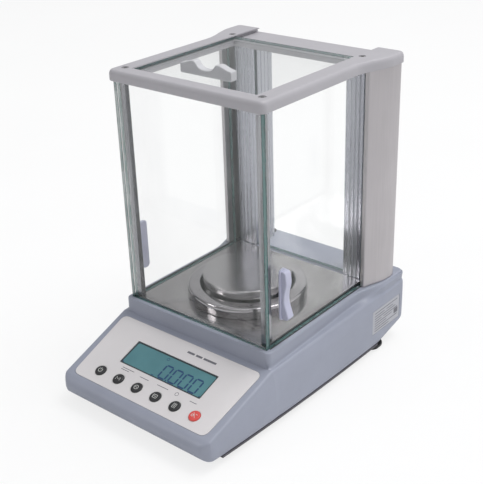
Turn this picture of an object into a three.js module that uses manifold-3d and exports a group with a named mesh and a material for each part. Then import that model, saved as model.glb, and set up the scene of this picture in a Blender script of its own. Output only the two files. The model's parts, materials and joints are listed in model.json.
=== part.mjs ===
// Analytical balance with a glass draft shield: millimetres, +Z up, +Y to the rear.
// The origin is on the bench under the middle of the outline, so the feet stand on Z = 0.

import * as THREE from 'three';
import { mergeVertices } from 'three/addons/utils/BufferGeometryUtils.js';
import Module from 'manifold-3d';

const wasm = await Module();
wasm.setup();

// ---------------------------------------------------------------- driving dimensions

const CLEAR = 0.3; // gap left between neighbouring pieces

// housing
const REAR_Y = 163; // rear wall
const REAR_HALF_WIDTH = 108.5;
const NOSE_NARROWING = 9.8; // how much narrower each side is at the nose
const BOTTOM_Z = 9; // lower edge of the housing
const DECK_Z = 80; // top of the plinth that carries the draft shield
const BASE_Z = 6; // underside of the base plate
const BASE_TOP_Z = 8.7;
const BASE_FRONT_Y = -134.5;
const WALL = 3;
const DECK_WALL = 5.5;
const PLINTH_HALF_WIDTH = 95.5;
const PLINTH_FLARED_HALF_WIDTH = 106.5;
const FLARE_START_Y = 80;
const FLARE_END_Y = 130;
const REAR_RISE_Y = 117; // behind here the lower edge rises to the rear wall
const REAR_RISE = 10;
const NOSE_RADIUS = 12;
const CORNER_RADIUS = 13; // nose corners, seen from above

// sloping control panel
const PANEL_TOP_Y = -62;
const PANEL_TOP_Z = 63;
const PANEL_TILT = THREE.MathUtils.degToRad(19);
const PANEL_LENGTH = 93;
const KEY_COUNT = 6;
const KEY_PITCH = 25.3;
const KEY_ROW = 76.4; // down the slope from the panel's top edge
const KEY_CENTRE_X = 1.5;
const KEY_RADIUS = 6;
const LCD = { left: -52, right: 56, top: 28, bottom: 58.5 };

// draft shield
const SHIELD_FRONT_Y = -57.5; // front face of the front glass
const GLASS = 4;
const GLASS_HALF_WIDTH = 90; // outer faces of the side doors
const FRAME_Z = 314.2; // underside of the top frame
const FRAME_TOP_Z = 325;
const RAIL_HALF_WIDTH = 94.7;
const RAIL_FLARED_HALF_WIDTH = 106;
const RAIL_INNER_X = 76;
const OPENING_FRONT_Y = -45.7;
const REAR_BAR_Y = 104.5;
const REAR_BAR_TOP_Z = 320;
const CAP_REAR_Y = 149.5;
const COVER_FRONT_Y = 101.5;
const COLUMN_FRONT_Y = 114.5;
const COLUMN_REAR_Y = 148.2;
const COLUMN_INNER_X = 60;
const SCREW = { x: 83, frontY: -47, rearY: 109, lowZ: 316.4 };

// weighing system
const PAN_Y = 24.5;
const PAN_RADIUS = 46.5;
const RING_RADIUS = 63;
const PIVOT_Y = 62;
const COIL_Y = 135;

// ---------------------------------------------------------------- shape helpers

// Closed geometry to a solid that can be cut and joined.
function solid(geometry) {
  const bare = geometry.clone();
  bare.deleteAttribute('normal');
  bare.deleteAttribute('uv');
  const merged = mergeVertices(bare, 1e-4);
  return new wasm.Manifold(new wasm.Mesh({
    numProp: 3,
    vertProperties: new Float32Array(merged.attributes.position.array),
    triVerts: new Uint32Array(merged.index.array),
  }));
}

function surfaceOf(shape) {
  const mesh = shape.getMesh();
  const geometry = new THREE.BufferGeometry();
  geometry.setAttribute('position', new THREE.BufferAttribute(mesh.vertProperties, 3));
  geometry.setIndex(new THREE.BufferAttribute(mesh.triVerts, 1));
  return geometry;
}

function block(x0, x1, y0, y1, z0, z1) {
  const geometry = new THREE.BoxGeometry(x1 - x0, y1 - y0, z1 - z0);
  geometry.translate((x0 + x1) / 2, (y0 + y1) / 2, (z0 + z1) / 2);
  return solid(geometry);
}

function roundedRect(x0, x1, y0, y1, r) {
  const shape = new THREE.Shape();
  shape.moveTo(x0 + r, y0);
  shape.absarc(x1 - r, y0 + r, r, -Math.PI / 2, 0);
  shape.absarc(x1 - r, y1 - r, r, 0, Math.PI / 2);
  shape.absarc(x0 + r, y1 - r, r, Math.PI / 2, Math.PI);
  shape.absarc(x0 + r, y0 + r, r, Math.PI, Math.PI * 1.5);
  return shape;
}

function outline(points) {
  return new THREE.Shape(points.map(([a, b]) => new THREE.Vector2(a, b)));
}

// Outline in X and Y, from z0 up to z1.
function slab(shape, z0, z1, curveSegments = 4) {
  const options = { depth: z1 - z0, bevelEnabled: false, curveSegments };
  const geometry = new THREE.ExtrudeGeometry(shape, options);
  geometry.translate(0, 0, z0);
  return solid(geometry);
}

// Outline in Y and Z, from x0 to x1.
function across(shape, x0, x1, curveSegments = 4) {
  const options = { depth: x1 - x0, bevelEnabled: false, curveSegments };
  const geometry = new THREE.ExtrudeGeometry(shape, options);
  const basis = new THREE.Matrix4().makeBasis(
    new THREE.Vector3(0, 1, 0),
    new THREE.Vector3(0, 0, 1),
    new THREE.Vector3(1, 0, 0),
  );
  geometry.applyMatrix4(basis);
  geometry.translate(x0, 0, 0);
  return solid(geometry);
}

// Outline in X and Z, from y0 back to y1.
function upright(shape, y0, y1, curveSegments = 4) {
  const options = { depth: y1 - y0, bevelEnabled: false, curveSegments };
  const geometry = new THREE.ExtrudeGeometry(shape, options);
  geometry.rotateX(Math.PI / 2);
  geometry.translate(0, y1, 0);
  return solid(geometry);
}

// Half profile of [radius, height] turned about a vertical axis at (x, y).
function turned(profile, x = 0, y = 0, segments = 24) {
  const points = profile.map(([radius, height]) => new THREE.Vector2(radius, height));
  const geometry = new THREE.LatheGeometry(points, segments);
  geometry.rotateX(Math.PI / 2);
  geometry.translate(x, y, 0);
  return solid(geometry);
}

function rod(radius, z0, z1, x = 0, y = 0, segments = 16) {
  return turned([[0, z0], [radius, z0], [radius, z1], [0, z1]], x, y, segments);
}

// Triangles that close a ring, turning the same way as the ring's points.
function capOf(ring, flatten) {
  const flat = ring.map(flatten);
  const ringArea = THREE.ShapeUtils.area(flat);
  return THREE.ShapeUtils.triangulateShape(flat, []).map(([a, b, c]) => {
    const area = THREE.ShapeUtils.area([flat[a], flat[b], flat[c]]);
    return area * ringArea > 0 ? [a, b, c] : [a, c, b];
  });
}

function signedVolume(points, faces) {
  let total = 0;
  for (const [a, b, c] of faces) {
    total += points[a].dot(new THREE.Vector3().crossVectors(points[b], points[c]));
  }
  return total / 6;
}

// Skin over a row of closed rings that have the same number of points.
function stack(rings, flatten) {
  const count = rings[0].length;
  const points = rings.flat();
  let faces = [];
  for (let row = 0; row < rings.length - 1; row += 1) {
    for (let i = 0; i < count; i += 1) {
      const a = row * count + i;
      const b = row * count + ((i + 1) % count);
      faces.push([a, b, b + count], [a, b + count, a + count]);
    }
  }
  const last = (rings.length - 1) * count;
  faces.push(...capOf(rings[0], flatten).map(([a, b, c]) => [a, c, b]));
  faces.push(...capOf(rings.at(-1), flatten).map((face) => face.map((index) => index + last)));
  if (signedVolume(points, faces) < 0) {
    faces = faces.map(([a, b, c]) => [a, c, b]);
  }
  const geometry = new THREE.BufferGeometry();
  const positions = points.flatMap((point) => point.toArray());
  geometry.setAttribute('position', new THREE.Float32BufferAttribute(positions, 3));
  geometry.setIndex(faces.flat());
  return solid(geometry);
}

function mirrored(shape) {
  return shape.mirror([1, 0, 0]);
}

function smooth(low, high, value) {
  return THREE.MathUtils.smoothstep(value, low, high);
}

// ---------------------------------------------------------------- finishes

const PAINT = { color: 0xa3a9b8, roughness: 0.45, metalness: 0.0 };
const FRAME_PAINT = { color: 0xbcbac2, roughness: 0.45, metalness: 0.0 };
const PANEL_FILM = { color: 0xcfcac8, roughness: 0.5, metalness: 0.0 };
const SATIN = { color: 0xa9a3a8, roughness: 0.42, metalness: 0.7 };
const BRUSHED = { color: 0xa29a96, roughness: 0.35, metalness: 0.9 };
const POLISHED = { color: 0xb9b5b2, roughness: 0.12, metalness: 1.0 };
const DARK_STEEL = { color: 0x4a4653, roughness: 0.5, metalness: 0.4 };
const CAST = { color: 0x9b9da0, roughness: 0.55, metalness: 0.8 };
const ZINC = { color: 0x6c6a6d, roughness: 0.35, metalness: 0.9 };
const COPPER = { color: 0xb06a3a, roughness: 0.35, metalness: 0.9 };
const CLEAR_GLASS = { color: 0xe6f2ee, roughness: 0.03, metalness: 0.0, transparent: true, opacity: 0.25 };
const GRIP = { color: 0xb4b4c4, roughness: 0.4, metalness: 0.0 };
const RUBBER = { color: 0x1f1f21, roughness: 0.85, metalness: 0.0 };
const BLACK_PLASTIC = { color: 0x2b2b2d, roughness: 0.5, metalness: 0.0 };
const RED_PLASTIC = { color: 0xd8473f, roughness: 0.45, metalness: 0.0 };
const BOARD = { color: 0x1f6b43, roughness: 0.6, metalness: 0.0 };
const LCD_FILM = { color: 0x4b8a93, roughness: 0.25, metalness: 0.0 };
const LABEL = { color: 0xc9cbd0, roughness: 0.5, metalness: 0.0 };
const LEVEL_FLUID = { color: 0xb9d66a, roughness: 0.1, metalness: 0.0, transparent: true, opacity: 0.6 };

const balance = new THREE.Group();
const panel = new THREE.Group(); // local -Y runs down the slope and local Z is its normal
panel.position.set(0, PANEL_TOP_Y, PANEL_TOP_Z);
panel.rotation.x = PANEL_TILT;
balance.add(panel);

function piece(name, shape, finish, parent = balance) {
  const mesh = new THREE.Mesh(surfaceOf(shape), new THREE.MeshStandardMaterial(finish));
  mesh.name = name;
  parent.add(mesh);
}

// ---------------------------------------------------------------- housing

const noseStartY = PANEL_TOP_Y - PANEL_LENGTH * Math.cos(PANEL_TILT);
const noseStartZ = PANEL_TOP_Z - PANEL_LENGTH * Math.sin(PANEL_TILT);
const noseCentreY = noseStartY + NOSE_RADIUS * Math.sin(PANEL_TILT);
const noseCentreZ = noseStartZ - NOSE_RADIUS * Math.cos(PANEL_TILT);
const noseY = noseCentreY - NOSE_RADIUS; // foremost point
balance.position.y = -(noseY + REAR_Y) / 2; // the outline's middle goes over the origin

// Half-width of the housing at its widest, which tapers towards the nose.
function sideX(y) {
  const forward = Math.max(0, (REAR_HALF_WIDTH - 6 - y) / (REAR_Y + 97));
  return REAR_HALF_WIDTH - NOSE_NARROWING * forward ** 2;
}

// Half-width after rounding the nose corners.
function roundedSideX(y) {
  const behindNose = y - noseY;
  if (behindNose >= CORNER_RADIUS) {
    return sideX(y);
  }
  const short = CORNER_RADIUS - behindNose;
  return sideX(y) - CORNER_RADIUS + Math.sqrt(CORNER_RADIUS ** 2 - short ** 2);
}

function plinthX(y) {
  const flare = smooth(FLARE_START_Y, FLARE_END_Y, y);
  return PLINTH_HALF_WIDTH + (PLINTH_FLARED_HALF_WIDTH - PLINTH_HALF_WIDTH) * flare;
}

function slopeZ(y) {
  return PANEL_TOP_Z - (PANEL_TOP_Y - y) * Math.tan(PANEL_TILT);
}

function frontTopZ(y) {
  if (y >= noseStartY) {
    return slopeZ(y);
  }
  const reach = noseCentreY - y;
  return noseCentreZ + Math.sqrt(Math.max(0, NOSE_RADIUS ** 2 - reach ** 2));
}

// How far the lower edge and the base have risen towards the rear wall.
function rearLift(y) {
  return REAR_RISE * Math.max(0, (y - REAR_RISE_Y) / (REAR_Y - REAR_RISE_Y));
}

function lowerZ(y) {
  const noseBase = noseCentreZ - BOTTOM_Z;
  const behindNose = y - noseY;
  if (behindNose < noseBase) {
    return noseCentreZ - Math.sqrt(noseBase ** 2 - (noseBase - behindNose) ** 2);
  }
  return BOTTOM_Z + rearLift(y);
}

// Right half of the housing's section where the plinth stands on it.
function plinthHalf(y, cornerCut = 0) {
  const back = (y - PANEL_TOP_Y) / (REAR_Y - PANEL_TOP_Y);
  const wallX = plinthX(y) - cornerCut;
  const side = sideX(y);
  const ledgeZ = PANEL_TOP_Z + 9 * back + 6 * smooth(FLARE_START_Y, FLARE_END_Y, y);
  const ridgeX = Math.max(100.5 + (side - 101.5) * back, plinthX(y) + 1.2);
  const ridgeZ = PANEL_TOP_Z - 0.5 + 7 * back;
  const low = lowerZ(y);
  return [
    [0, DECK_Z],
    [wallX - 2.2, DECK_Z],
    [wallX - 0.6, DECK_Z - 0.6],
    [wallX, DECK_Z - 2.2],
    [wallX + 0.3, ledgeZ + 1.2],
    [wallX + 1.2 + cornerCut, ledgeZ - 0.2],
    [ridgeX - 1.2, ridgeZ + 0.4],
    [Math.min(ridgeX + 0.6, side - 0.3), ridgeZ - 1.4],
    [side - 0.9 * (1 - back), ridgeZ - 12],
    [side, ridgeZ - 24],
    [side - 0.2, low + 5],
    [side - 2.6, low],
    [0, low],
  ];
}

// Right half of the section through the sloping panel and the nose.
function panelHalf(y) {
  const top = frontTopZ(y);
  const low = lowerZ(y);
  const down = (PANEL_TOP_Y - y) / (PANEL_TOP_Y - noseStartY);
  const tall = top - low;
  const side = roundedSideX(y);
  const shoulderX = Math.min(100.5 - 2.6 * down, side - 0.6);
  return [
    [0, top],
    [shoulderX - 12, top],
    [shoulderX - 10, top],
    [shoulderX - 8, top],
    [shoulderX - 6, top],
    [shoulderX - 4, top],
    [shoulderX - 1.6, top - 0.3],
    [shoulderX, top - Math.min(1.6, tall * 0.15)],
    [THREE.MathUtils.lerp(shoulderX, side, 0.7), top - Math.min(12, tall * 0.42)],
    [side, top - Math.min(24, tall * 0.6)],
    [side - 0.2, low + Math.min(5, tall * 0.25)],
    [side - Math.min(2.6, tall * 0.15), low],
    [0, low],
  ];
}

function wholeRing(half, y) {
  const right = half.map(([x, z]) => new THREE.Vector3(x, y, z));
  const left = half.slice(1, -1).reverse().map(([x, z]) => new THREE.Vector3(-x, y, z));
  return [...right, ...left];
}

const flattenXZ = (point) => new THREE.Vector2(point.x, point.z);

// Draws the right half of a section in towards the middle plane.
function drawnIn(half, cut) {
  return half.map(([x, ...rest]) => [x > 0 ? x - cut : 0, ...rest]);
}

function housingSkin() {
  const rings = [wholeRing(panelHalf(noseY + 0.15), noseY)];
  for (const angle of [16, 30, 44, 58]) {
    const y = noseCentreY - NOSE_RADIUS * Math.cos(THREE.MathUtils.degToRad(angle));
    rings.push(wholeRing(panelHalf(y), y));
  }
  for (const y of [noseStartY, -136, -110, -86, PANEL_TOP_Y]) {
    rings.push(wholeRing(panelHalf(y), y));
  }
  for (const [back, cut] of [[0.1, 5.5], [0.9, 2.6], [2.6, 0.9], [5.5, 0]]) {
    rings.push(wholeRing(plinthHalf(PANEL_TOP_Y + back, cut), PANEL_TOP_Y + back));
  }
  for (const y of [-30, 5, 40, FLARE_START_Y, 90, 100, 110, REAR_RISE_Y, FLARE_END_Y, 150]) {
    rings.push(wholeRing(plinthHalf(y), y));
  }
  for (const [back, cut] of [[3, 0.6], [1, 1.8], [0, 4]]) {
    const half = drawnIn(plinthHalf(REAR_Y - back), cut);
    rings.push(wholeRing(half, REAR_Y - back));
  }
  return stack(rings, flattenXZ);
}

// Right half of the hollow under the sloping panel.
function panelHollowHalf(y, low) {
  const side = sideX(y) - WALL - 0.4;
  const top = slopeZ(y) - WALL - 0.5;
  return [[0, top], [side - 9, top], [side - 4, top - 4], [side, top - 12], [side, low], [0, low]];
}

// Right half of the hollow under the deck.
function plinthHollowHalf(y, low) {
  const side = sideX(y) - WALL - 0.2;
  const top = DECK_Z - DECK_WALL;
  const wallX = Math.min(plinthX(y) - WALL, side - 1);
  return [[0, top], [wallX, top], [wallX + 0.5, 60], [side, 48], [side, low], [0, low]];
}

// The hollow inside, open downwards behind the nose.
function housingHollow() {
  const closedZ = BOTTOM_Z + WALL;
  const openZ = BOTTOM_Z - 6;
  const lipY = BASE_FRONT_Y - 0.7; // where the floor of the nose ends
  const rings = [
    wholeRing(drawnIn(panelHollowHalf(noseStartY + 2, closedZ + 2), 8), noseStartY + 2),
    wholeRing(panelHollowHalf(lipY - 0.2, closedZ), lipY - 0.2),
    wholeRing(panelHollowHalf(lipY, openZ), lipY),
  ];
  for (const y of [-110, PANEL_TOP_Y - 1]) {
    rings.push(wholeRing(panelHollowHalf(y, openZ), y));
  }
  for (const y of [PANEL_TOP_Y + WALL, 0, FLARE_START_Y, FLARE_END_Y, REAR_Y - WALL]) {
    rings.push(wholeRing(plinthHollowHalf(y, openZ), y));
  }
  return stack(rings, flattenXZ);
}

// Puts a solid that is drawn in the panel's own axes where the panel is.
function onPanel(shape) {
  const degrees = THREE.MathUtils.radToDeg(PANEL_TILT);
  return shape.rotate([degrees, 0, 0]).translate([0, PANEL_TOP_Y, PANEL_TOP_Z]);
}

function keyX(index) {
  return KEY_CENTRE_X + (index - (KEY_COUNT - 1) / 2) * KEY_PITCH;
}

// The overlay's outline, wider at the top, grown outwards by a margin.
function overlayShape(margin = 0) {
  const top = -6.5 + margin;
  const bottom = -91 - margin;
  const wide = 93.2 + margin;
  const narrow = 88.6 + margin;
  const r = 8;
  const shape = new THREE.Shape();
  shape.moveTo(-narrow + r, bottom);
  shape.lineTo(narrow - r, bottom);
  shape.quadraticCurveTo(narrow, bottom, narrow + 0.4, bottom + r);
  shape.lineTo(wide - 0.4, top - r);
  shape.quadraticCurveTo(wide, top, wide - r, top);
  shape.lineTo(-wide + r, top);
  shape.quadraticCurveTo(-wide, top, -wide + 0.4, top - r);
  shape.lineTo(-narrow - 0.4, bottom + r);
  shape.quadraticCurveTo(-narrow, bottom, -narrow + r, bottom);
  return shape;
}

function panelCuts(keyRadius, windowMargin, z0, z1) {
  const window = block(
    LCD.left - windowMargin,
    LCD.right + windowMargin,
    -LCD.bottom - windowMargin,
    -LCD.top + windowMargin,
    z0,
    z1,
  );
  let cuts = window;
  for (let index = 0; index < KEY_COUNT; index += 1) {
    cuts = cuts.add(rod(keyRadius, z0, z1, keyX(index), -KEY_ROW, 20));
  }
  return cuts;
}

const POSTS = [[-86, -52], [86, -52], [-58, 148], [58, 148]];
const TRACK = { inner: 84.4, outer: 91.6, floorZ: 77, rear: REAR_Y - 0.2 };
const LEVEL = { x: -72, y: 155.6 };
const SERIAL = { x: -30, z: 42, halfWidth: 15.5, halfHeight: 6.3 };
const POWER = { x: -84, z: 42, halfWidth: 7, halfHeight: 6 };
const LABEL_PLACE = { front: 101, rear: 154, low: 26, high: 54, sunk: 0.2, thickness: 0.4 };
const FLOOR_HALF_WIDTH = 84.1;

// Outline of the stainless floor, which ends in front of the columns.
function floorShape(margin = 0) {
  const wide = FLOOR_HALF_WIDTH + margin;
  const front = SHIELD_FRONT_Y + GLASS + CLEAR - margin;
  const rear = COLUMN_FRONT_Y - 0.6 + margin;
  return outline([[-wide, front], [wide, front], [wide, rear], [-wide, rear]]);
}

function upperHousing() {
  let shell = housingSkin().subtract(housingHollow());
  for (const [x, y] of POSTS) {
    const footZ = rearLift(y + 5) + BASE_TOP_Z + CLEAR;
    shell = shell.add(rod(5, footZ, DECK_Z - 4, x, y, 12));
    shell = shell.subtract(rod(1.9, footZ - 5, footZ + 15, x, y, 12));
  }
  shell = shell.subtract(onPanel(slab(overlayShape(CLEAR), -0.8, 6)));
  shell = shell.subtract(onPanel(panelCuts(KEY_RADIUS + 0.4, 0, -8, 2)));
  shell = shell.subtract(slab(floorShape(CLEAR), DECK_Z - 1, DECK_Z + 5));
  shell = shell.subtract(rod(14, DECK_Z - 12, DECK_Z + 2, 0, PAN_Y, 24));
  for (const side of [-1, 1]) {
    const [low, high] = [side * TRACK.inner, side * TRACK.outer].sort((a, b) => a - b);
    const frontY = SHIELD_FRONT_Y + GLASS;
    const groove = block(low - CLEAR, high + CLEAR, frontY, REAR_Y + 5, TRACK.floorZ, DECK_Z + 5);
    shell = shell.subtract(groove);
  }
  const glassGroove = block(
    -GLASS_HALF_WIDTH - CLEAR,
    GLASS_HALF_WIDTH + CLEAR,
    SHIELD_FRONT_Y - CLEAR,
    SHIELD_FRONT_Y + GLASS + CLEAR,
    DECK_Z - 2,
    DECK_Z + 5,
  );
  shell = shell.subtract(glassGroove);
  shell = shell.subtract(rod(6.4, DECK_Z - 12, DECK_Z + 2, LEVEL.x, LEVEL.y, 20));
  for (const socket of [SERIAL, POWER]) {
    shell = shell.subtract(socketBlock(socket, CLEAR, REAR_Y - 6, REAR_Y + 2));
  }
  const { front, rear, low, high, thickness } = LABEL_PLACE;
  const pocketX = REAR_HALF_WIDTH - LABEL_PLACE.sunk - thickness - 0.1;
  const outsideX = REAR_HALF_WIDTH + 3;
  const pocket = block(pocketX, outsideX, front - CLEAR, rear + CLEAR, low - CLEAR, high + CLEAR);
  return shell.subtract(pocket);
}

// A socket body's outline on the rear wall, grown by a margin, between two depths.
function socketBlock(socket, margin, y0, y1) {
  const wide = socket.halfWidth + margin;
  const tall = socket.halfHeight + margin;
  return block(socket.x - wide, socket.x + wide, y0, y1, socket.z - tall, socket.z + tall);
}

function ratingLabel() {
  const { front, rear, low, high, sunk, thickness } = LABEL_PLACE;
  const face = REAR_HALF_WIDTH - sunk;
  return block(face - thickness, face, front, rear, low, high);
}

piece('upper_housing', upperHousing(), PAINT);
piece('rating_label', ratingLabel(), LABEL);

// ---------------------------------------------------------------- base and feet

const REAR_FOOT = { x: 94.5, y: 119 };
const FRONT_FOOT = { x: 80, y: -116 };
const RAMP_HALF_WIDTH = 101;
const BASE_INSET = 2.4; // how far the base plate stays inside the housing's side

function basePlate() {
  const stations = [BASE_FRONT_Y, -100, -50, 0, 50, REAR_RISE_Y - 1];
  const right = stations.map((y) => [sideX(y) - BASE_INSET, y]);
  const left = stations.slice().reverse().map((y) => [BASE_INSET - sideX(y), y]);
  let plate = slab(outline([...right, ...left]), BASE_Z, BASE_TOP_Z);
  const rampEnd = REAR_Y - WALL - CLEAR;
  const endZ = BASE_TOP_Z + rearLift(rampEnd);
  const ramp = outline([
    [REAR_RISE_Y - 12, BASE_Z],
    [REAR_RISE_Y, BASE_Z],
    [rampEnd, endZ - 2.2],
    [rampEnd, endZ],
    [REAR_RISE_Y, BASE_TOP_Z],
    [REAR_RISE_Y - 12, BASE_TOP_Z],
  ]);
  plate = plate.add(across(ramp, -RAMP_HALF_WIDTH, RAMP_HALF_WIDTH));
  for (const side of [-1, 1]) {
    plate = plate.add(rod(9, BASE_Z + 0.5, 18, side * REAR_FOOT.x, REAR_FOOT.y, 20));
    plate = plate.subtract(rod(4.3, 0, 30, side * REAR_FOOT.x, REAR_FOOT.y, 16));
  }
  for (const [x, y] of POSTS) {
    plate = plate.subtract(rod(2, 0, 30, x, y, 12));
    plate = plate.subtract(rod(4.4, 0, BASE_Z + 0.9 + rearLift(y), x, y, 12));
  }
  return plate;
}
piece('base_plate', basePlate(), DARK_STEEL);

for (const [word, side] of [['left', -1], ['right', 1]]) {
  const rearX = side * REAR_FOOT.x;
  const rim = [[0, 2.8], [12.4, 2.8], [13, 3.3], [13, 5.1], [12.4, 5.6]];
  const stud = [[4, 5.6], [4, 24], [3, 25], [0, 25]];
  const pad = [[0, 0], [10, 0], [11, 0.8], [11, 2.5], [0, 2.5]];
  piece(`levelling_wheel_${word}`, turned([...rim, ...stud], rearX, REAR_FOOT.y, 24), BLACK_PLASTIC);
  piece(`levelling_pad_${word}`, turned(pad, rearX, REAR_FOOT.y, 20), RUBBER);
  const foot = [[0, 0], [10.4, 0], [11.2, 0.8], [12, 5.7], [0, 5.7]];
  piece(`front_foot_${word}`, turned(foot, side * FRONT_FOOT.x, FRONT_FOOT.y, 20), RUBBER);
}

const POST_NAMES = ['front_left', 'front_right', 'rear_left', 'rear_right'];
POSTS.forEach(([x, y], index) => {
  const low = BASE_Z - 1.6 + rearLift(y);
  const head = [[0, low], [3.4, low], [3.9, low + 0.6], [3.9, low + 2]];
  const profile = [...head, [1.6, low + 2], [1.6, low + 15], [0, low + 15]];
  piece(`base_screw_${POST_NAMES[index]}`, turned(profile, x, y, 12), ZINC);
});

// ---------------------------------------------------------------- control panel

const overlay = slab(overlayShape(), -0.5, 0.2).subtract(panelCuts(KEY_RADIUS + 0.3, 0, -2, 2));
piece('control_overlay', overlay, PANEL_FILM, panel);

// Display module: its glass fills the window and its body is wider behind the panel.
function lcdModule() {
  const { left, right, top, bottom } = LCD;
  const glass = block(left + CLEAR, right - CLEAR, CLEAR - bottom, -top - CLEAR, -5, -0.7);
  const body = block(left - 5, right + 5, -bottom - 4, 4 - top, -7.4, -4.2);
  return glass.add(body);
}
piece('lcd_module', lcdModule(), LCD_FILM, panel);
piece('display_board', block(-78, 82, -86, -20, -9.4, -7.8), BOARD, panel);

const KEY_NAMES = ['key_power', 'key_mode', 'key_unit', 'key_calibrate', 'key_print', 'key_tare'];
KEY_NAMES.forEach((name, index) => {
  const flange = [[0, -6.2], [7.4, -6.2], [7.4, -5]];
  const cap = [...flange, [KEY_RADIUS, -5], [KEY_RADIUS, 0.8], [5.2, 1.3], [0, 1.5]];
  const finish = name === 'key_tare' ? RED_PLASTIC : BLACK_PLASTIC;
  piece(name, turned(cap, keyX(index), -KEY_ROW, 20), finish, panel);
});

// ---------------------------------------------------------------- weighing chamber

const floorHole = rod(13, DECK_Z - 3, DECK_Z + 3, 0, PAN_Y, 24);
const chamberFloor = slab(floorShape(), DECK_Z - 0.7, DECK_Z + 0.3).subtract(floorHole);
piece('chamber_floor', chamberFloor, BRUSHED);

const RING_Z = DECK_Z + 0.6;
const ring = [
  [RING_RADIUS - 1.5, RING_Z],
  [RING_RADIUS, RING_Z],
  [RING_RADIUS, DECK_Z + 9.2],
  [RING_RADIUS - 0.8, DECK_Z + 10.6],
  [RING_RADIUS - 2.6, DECK_Z + 11.3],
  [50.6, DECK_Z + 13.2],
  [49.4, DECK_Z + 12.4],
  [49.4, DECK_Z + 9],
  [50.8, DECK_Z + 9],
  [50.8, DECK_Z + 11.6],
  [RING_RADIUS - 3, DECK_Z + 9.8],
  [RING_RADIUS - 1.5, DECK_Z + 8.6],
  [RING_RADIUS - 1.5, RING_Z],
];
piece('draft_ring', turned(ring, 0, PAN_Y, 44), POLISHED);

const PAN_TOP_Z = DECK_Z + 23.5;
const pan = [
  [0, PAN_TOP_Z - 1.6],
  [PAN_RADIUS - 1.6, PAN_TOP_Z - 1.6],
  [PAN_RADIUS - 1.3, DECK_Z + 14.2],
  [PAN_RADIUS, DECK_Z + 14.2],
  [PAN_RADIUS, PAN_TOP_Z - 1],
  [PAN_RADIUS - 1, PAN_TOP_Z],
  [0, PAN_TOP_Z],
];
piece('weighing_pan', turned(pan, 0, PAN_Y, 40), BRUSHED);

// Pan support: a cone under the pan, on a stem that is one piece with the hanger.
const HANGER = { x: 9, front: PAN_Y - 7, rear: PAN_Y + 7, low: 18, high: 69 };
function panCarrier() {
  const top = PAN_TOP_Z - 1.6 - CLEAR;
  const shaft = [[0, HANGER.high - 1], [5, HANGER.high - 1], [5, DECK_Z + 6]];
  const stem = [...shaft, [9, DECK_Z + 12], [26, top - 2], [26, top], [0, top]];
  const bar = block(-HANGER.x, HANGER.x, HANGER.front, HANGER.rear, HANGER.low, HANGER.high);
  const slot = block(-6.4, 6.4, PAN_Y - 1, HANGER.rear + 1, 48.5, 57.5);
  return bar.subtract(slot).add(turned(stem, 0, PAN_Y, 24));
}
piece('pan_carrier', panCarrier(), CAST);

// ---------------------------------------------------------------- weigh cell

function weighCellFrame() {
  const profile = outline([
    [46, 17],
    [112, 17],
    [112, 68],
    [56, 68],
    [56, 61],
    [80, 61],
    [80, 26],
    [46, 26],
  ]);
  let frame = across(profile, -24, 24);
  frame = frame.subtract(block(-8, 8, 70, 120, 48, 58));
  for (const side of [-1, 1]) {
    const [low, high] = [side * 24, side * 34].sort((a, b) => a - b);
    frame = frame.add(block(low - 0.5, high + 0.5, 60, 108, BASE_TOP_Z + CLEAR, 24));
  }
  return frame;
}
piece('weigh_cell_frame', weighCellFrame(), CAST);

// Parallel guide arms above and below the hanger, necked at their flexures.
function guideArm(z, holeRadius) {
  const left = [[-22, 104], [-22, 96], [-9, 40], [-9, 15]];
  const right = left.map(([x, y]) => [-x, y]).reverse();
  const plate = slab(outline([...left, ...right]), z, z + 2);
  if (holeRadius === 0) {
    return plate;
  }
  return plate.subtract(rod(holeRadius, z - 2, z + 4, 0, PAN_Y, 20));
}
piece('guide_arm_upper', guideArm(69.4, 5.6), BRUSHED);
piece('guide_arm_lower', guideArm(14.6, 0), BRUSHED);

// The lever's rear end turns up through the position sensor.
const leverOutline = outline([
  [28, 51],
  [34, 50],
  [150, 50],
  [150, 62],
  [147, 62],
  [147, 56],
  [34, 56],
  [28, 55],
]);
piece('lever_beam', across(leverOutline, -5, 5), BRUSHED);

const fulcrumOutline = outline([
  [PIVOT_Y - 8, 26.3],
  [PIVOT_Y + 8, 26.3],
  [PIVOT_Y + 1, 49],
  [PIVOT_Y - 1, 49],
]);
piece('fulcrum_block', across(fulcrumOutline, -9, 9), ZINC);

const pot = [[0, 20], [21, 20], [21, 46], [14.5, 46], [14.5, 26], [8.5, 26], [8.5, 46], [0, 46]];
piece('magnet_pot', turned(pot, 0, COIL_Y, 28), ZINC);
const coil = [[0, 47.7], [9.8, 47.7], [9.8, 32], [13, 32], [13, 49.7], [0, 49.7]];
piece('coil', turned(coil, 0, COIL_Y, 28), COPPER);
const sensor = block(-9, 9, 142.5, 154.5, 57.5, 70).subtract(block(-6.2, 6.2, 141, 156, 50, 65.5));
piece('position_sensor', sensor, BLACK_PLASTIC);

// ---------------------------------------------------------------- electronics

function mainBoard() {
  const plate = block(-100, -40, -40, 96, 19, 20.6);
  const heatSink = block(-96, -86, 20, 60, 20.4, 40);
  const capacitors = rod(6, 20.4, 38, -60, 70, 16).add(rod(6, 20.4, 38, -60, 52, 16));
  return plate.add(heatSink).add(capacitors);
}
piece('main_board', mainBoard(), BOARD);

function powerSocket() {
  const body = socketBlock(POWER, 0, REAR_Y - 15, REAR_Y - 0.2);
  const barrel = rod(3.6, 0, 11, 0, 0, 20);
  const pin = rod(1, 0, 6.4, 0, 0, 10);
  const place = (shape) => shape.rotate([-90, 0, 0]).translate([POWER.x, REAR_Y - 11, POWER.z]);
  return body.subtract(place(barrel)).add(place(pin.translate([0, 0, -0.5])));
}
piece('power_socket', powerSocket(), BLACK_PLASTIC);

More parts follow.
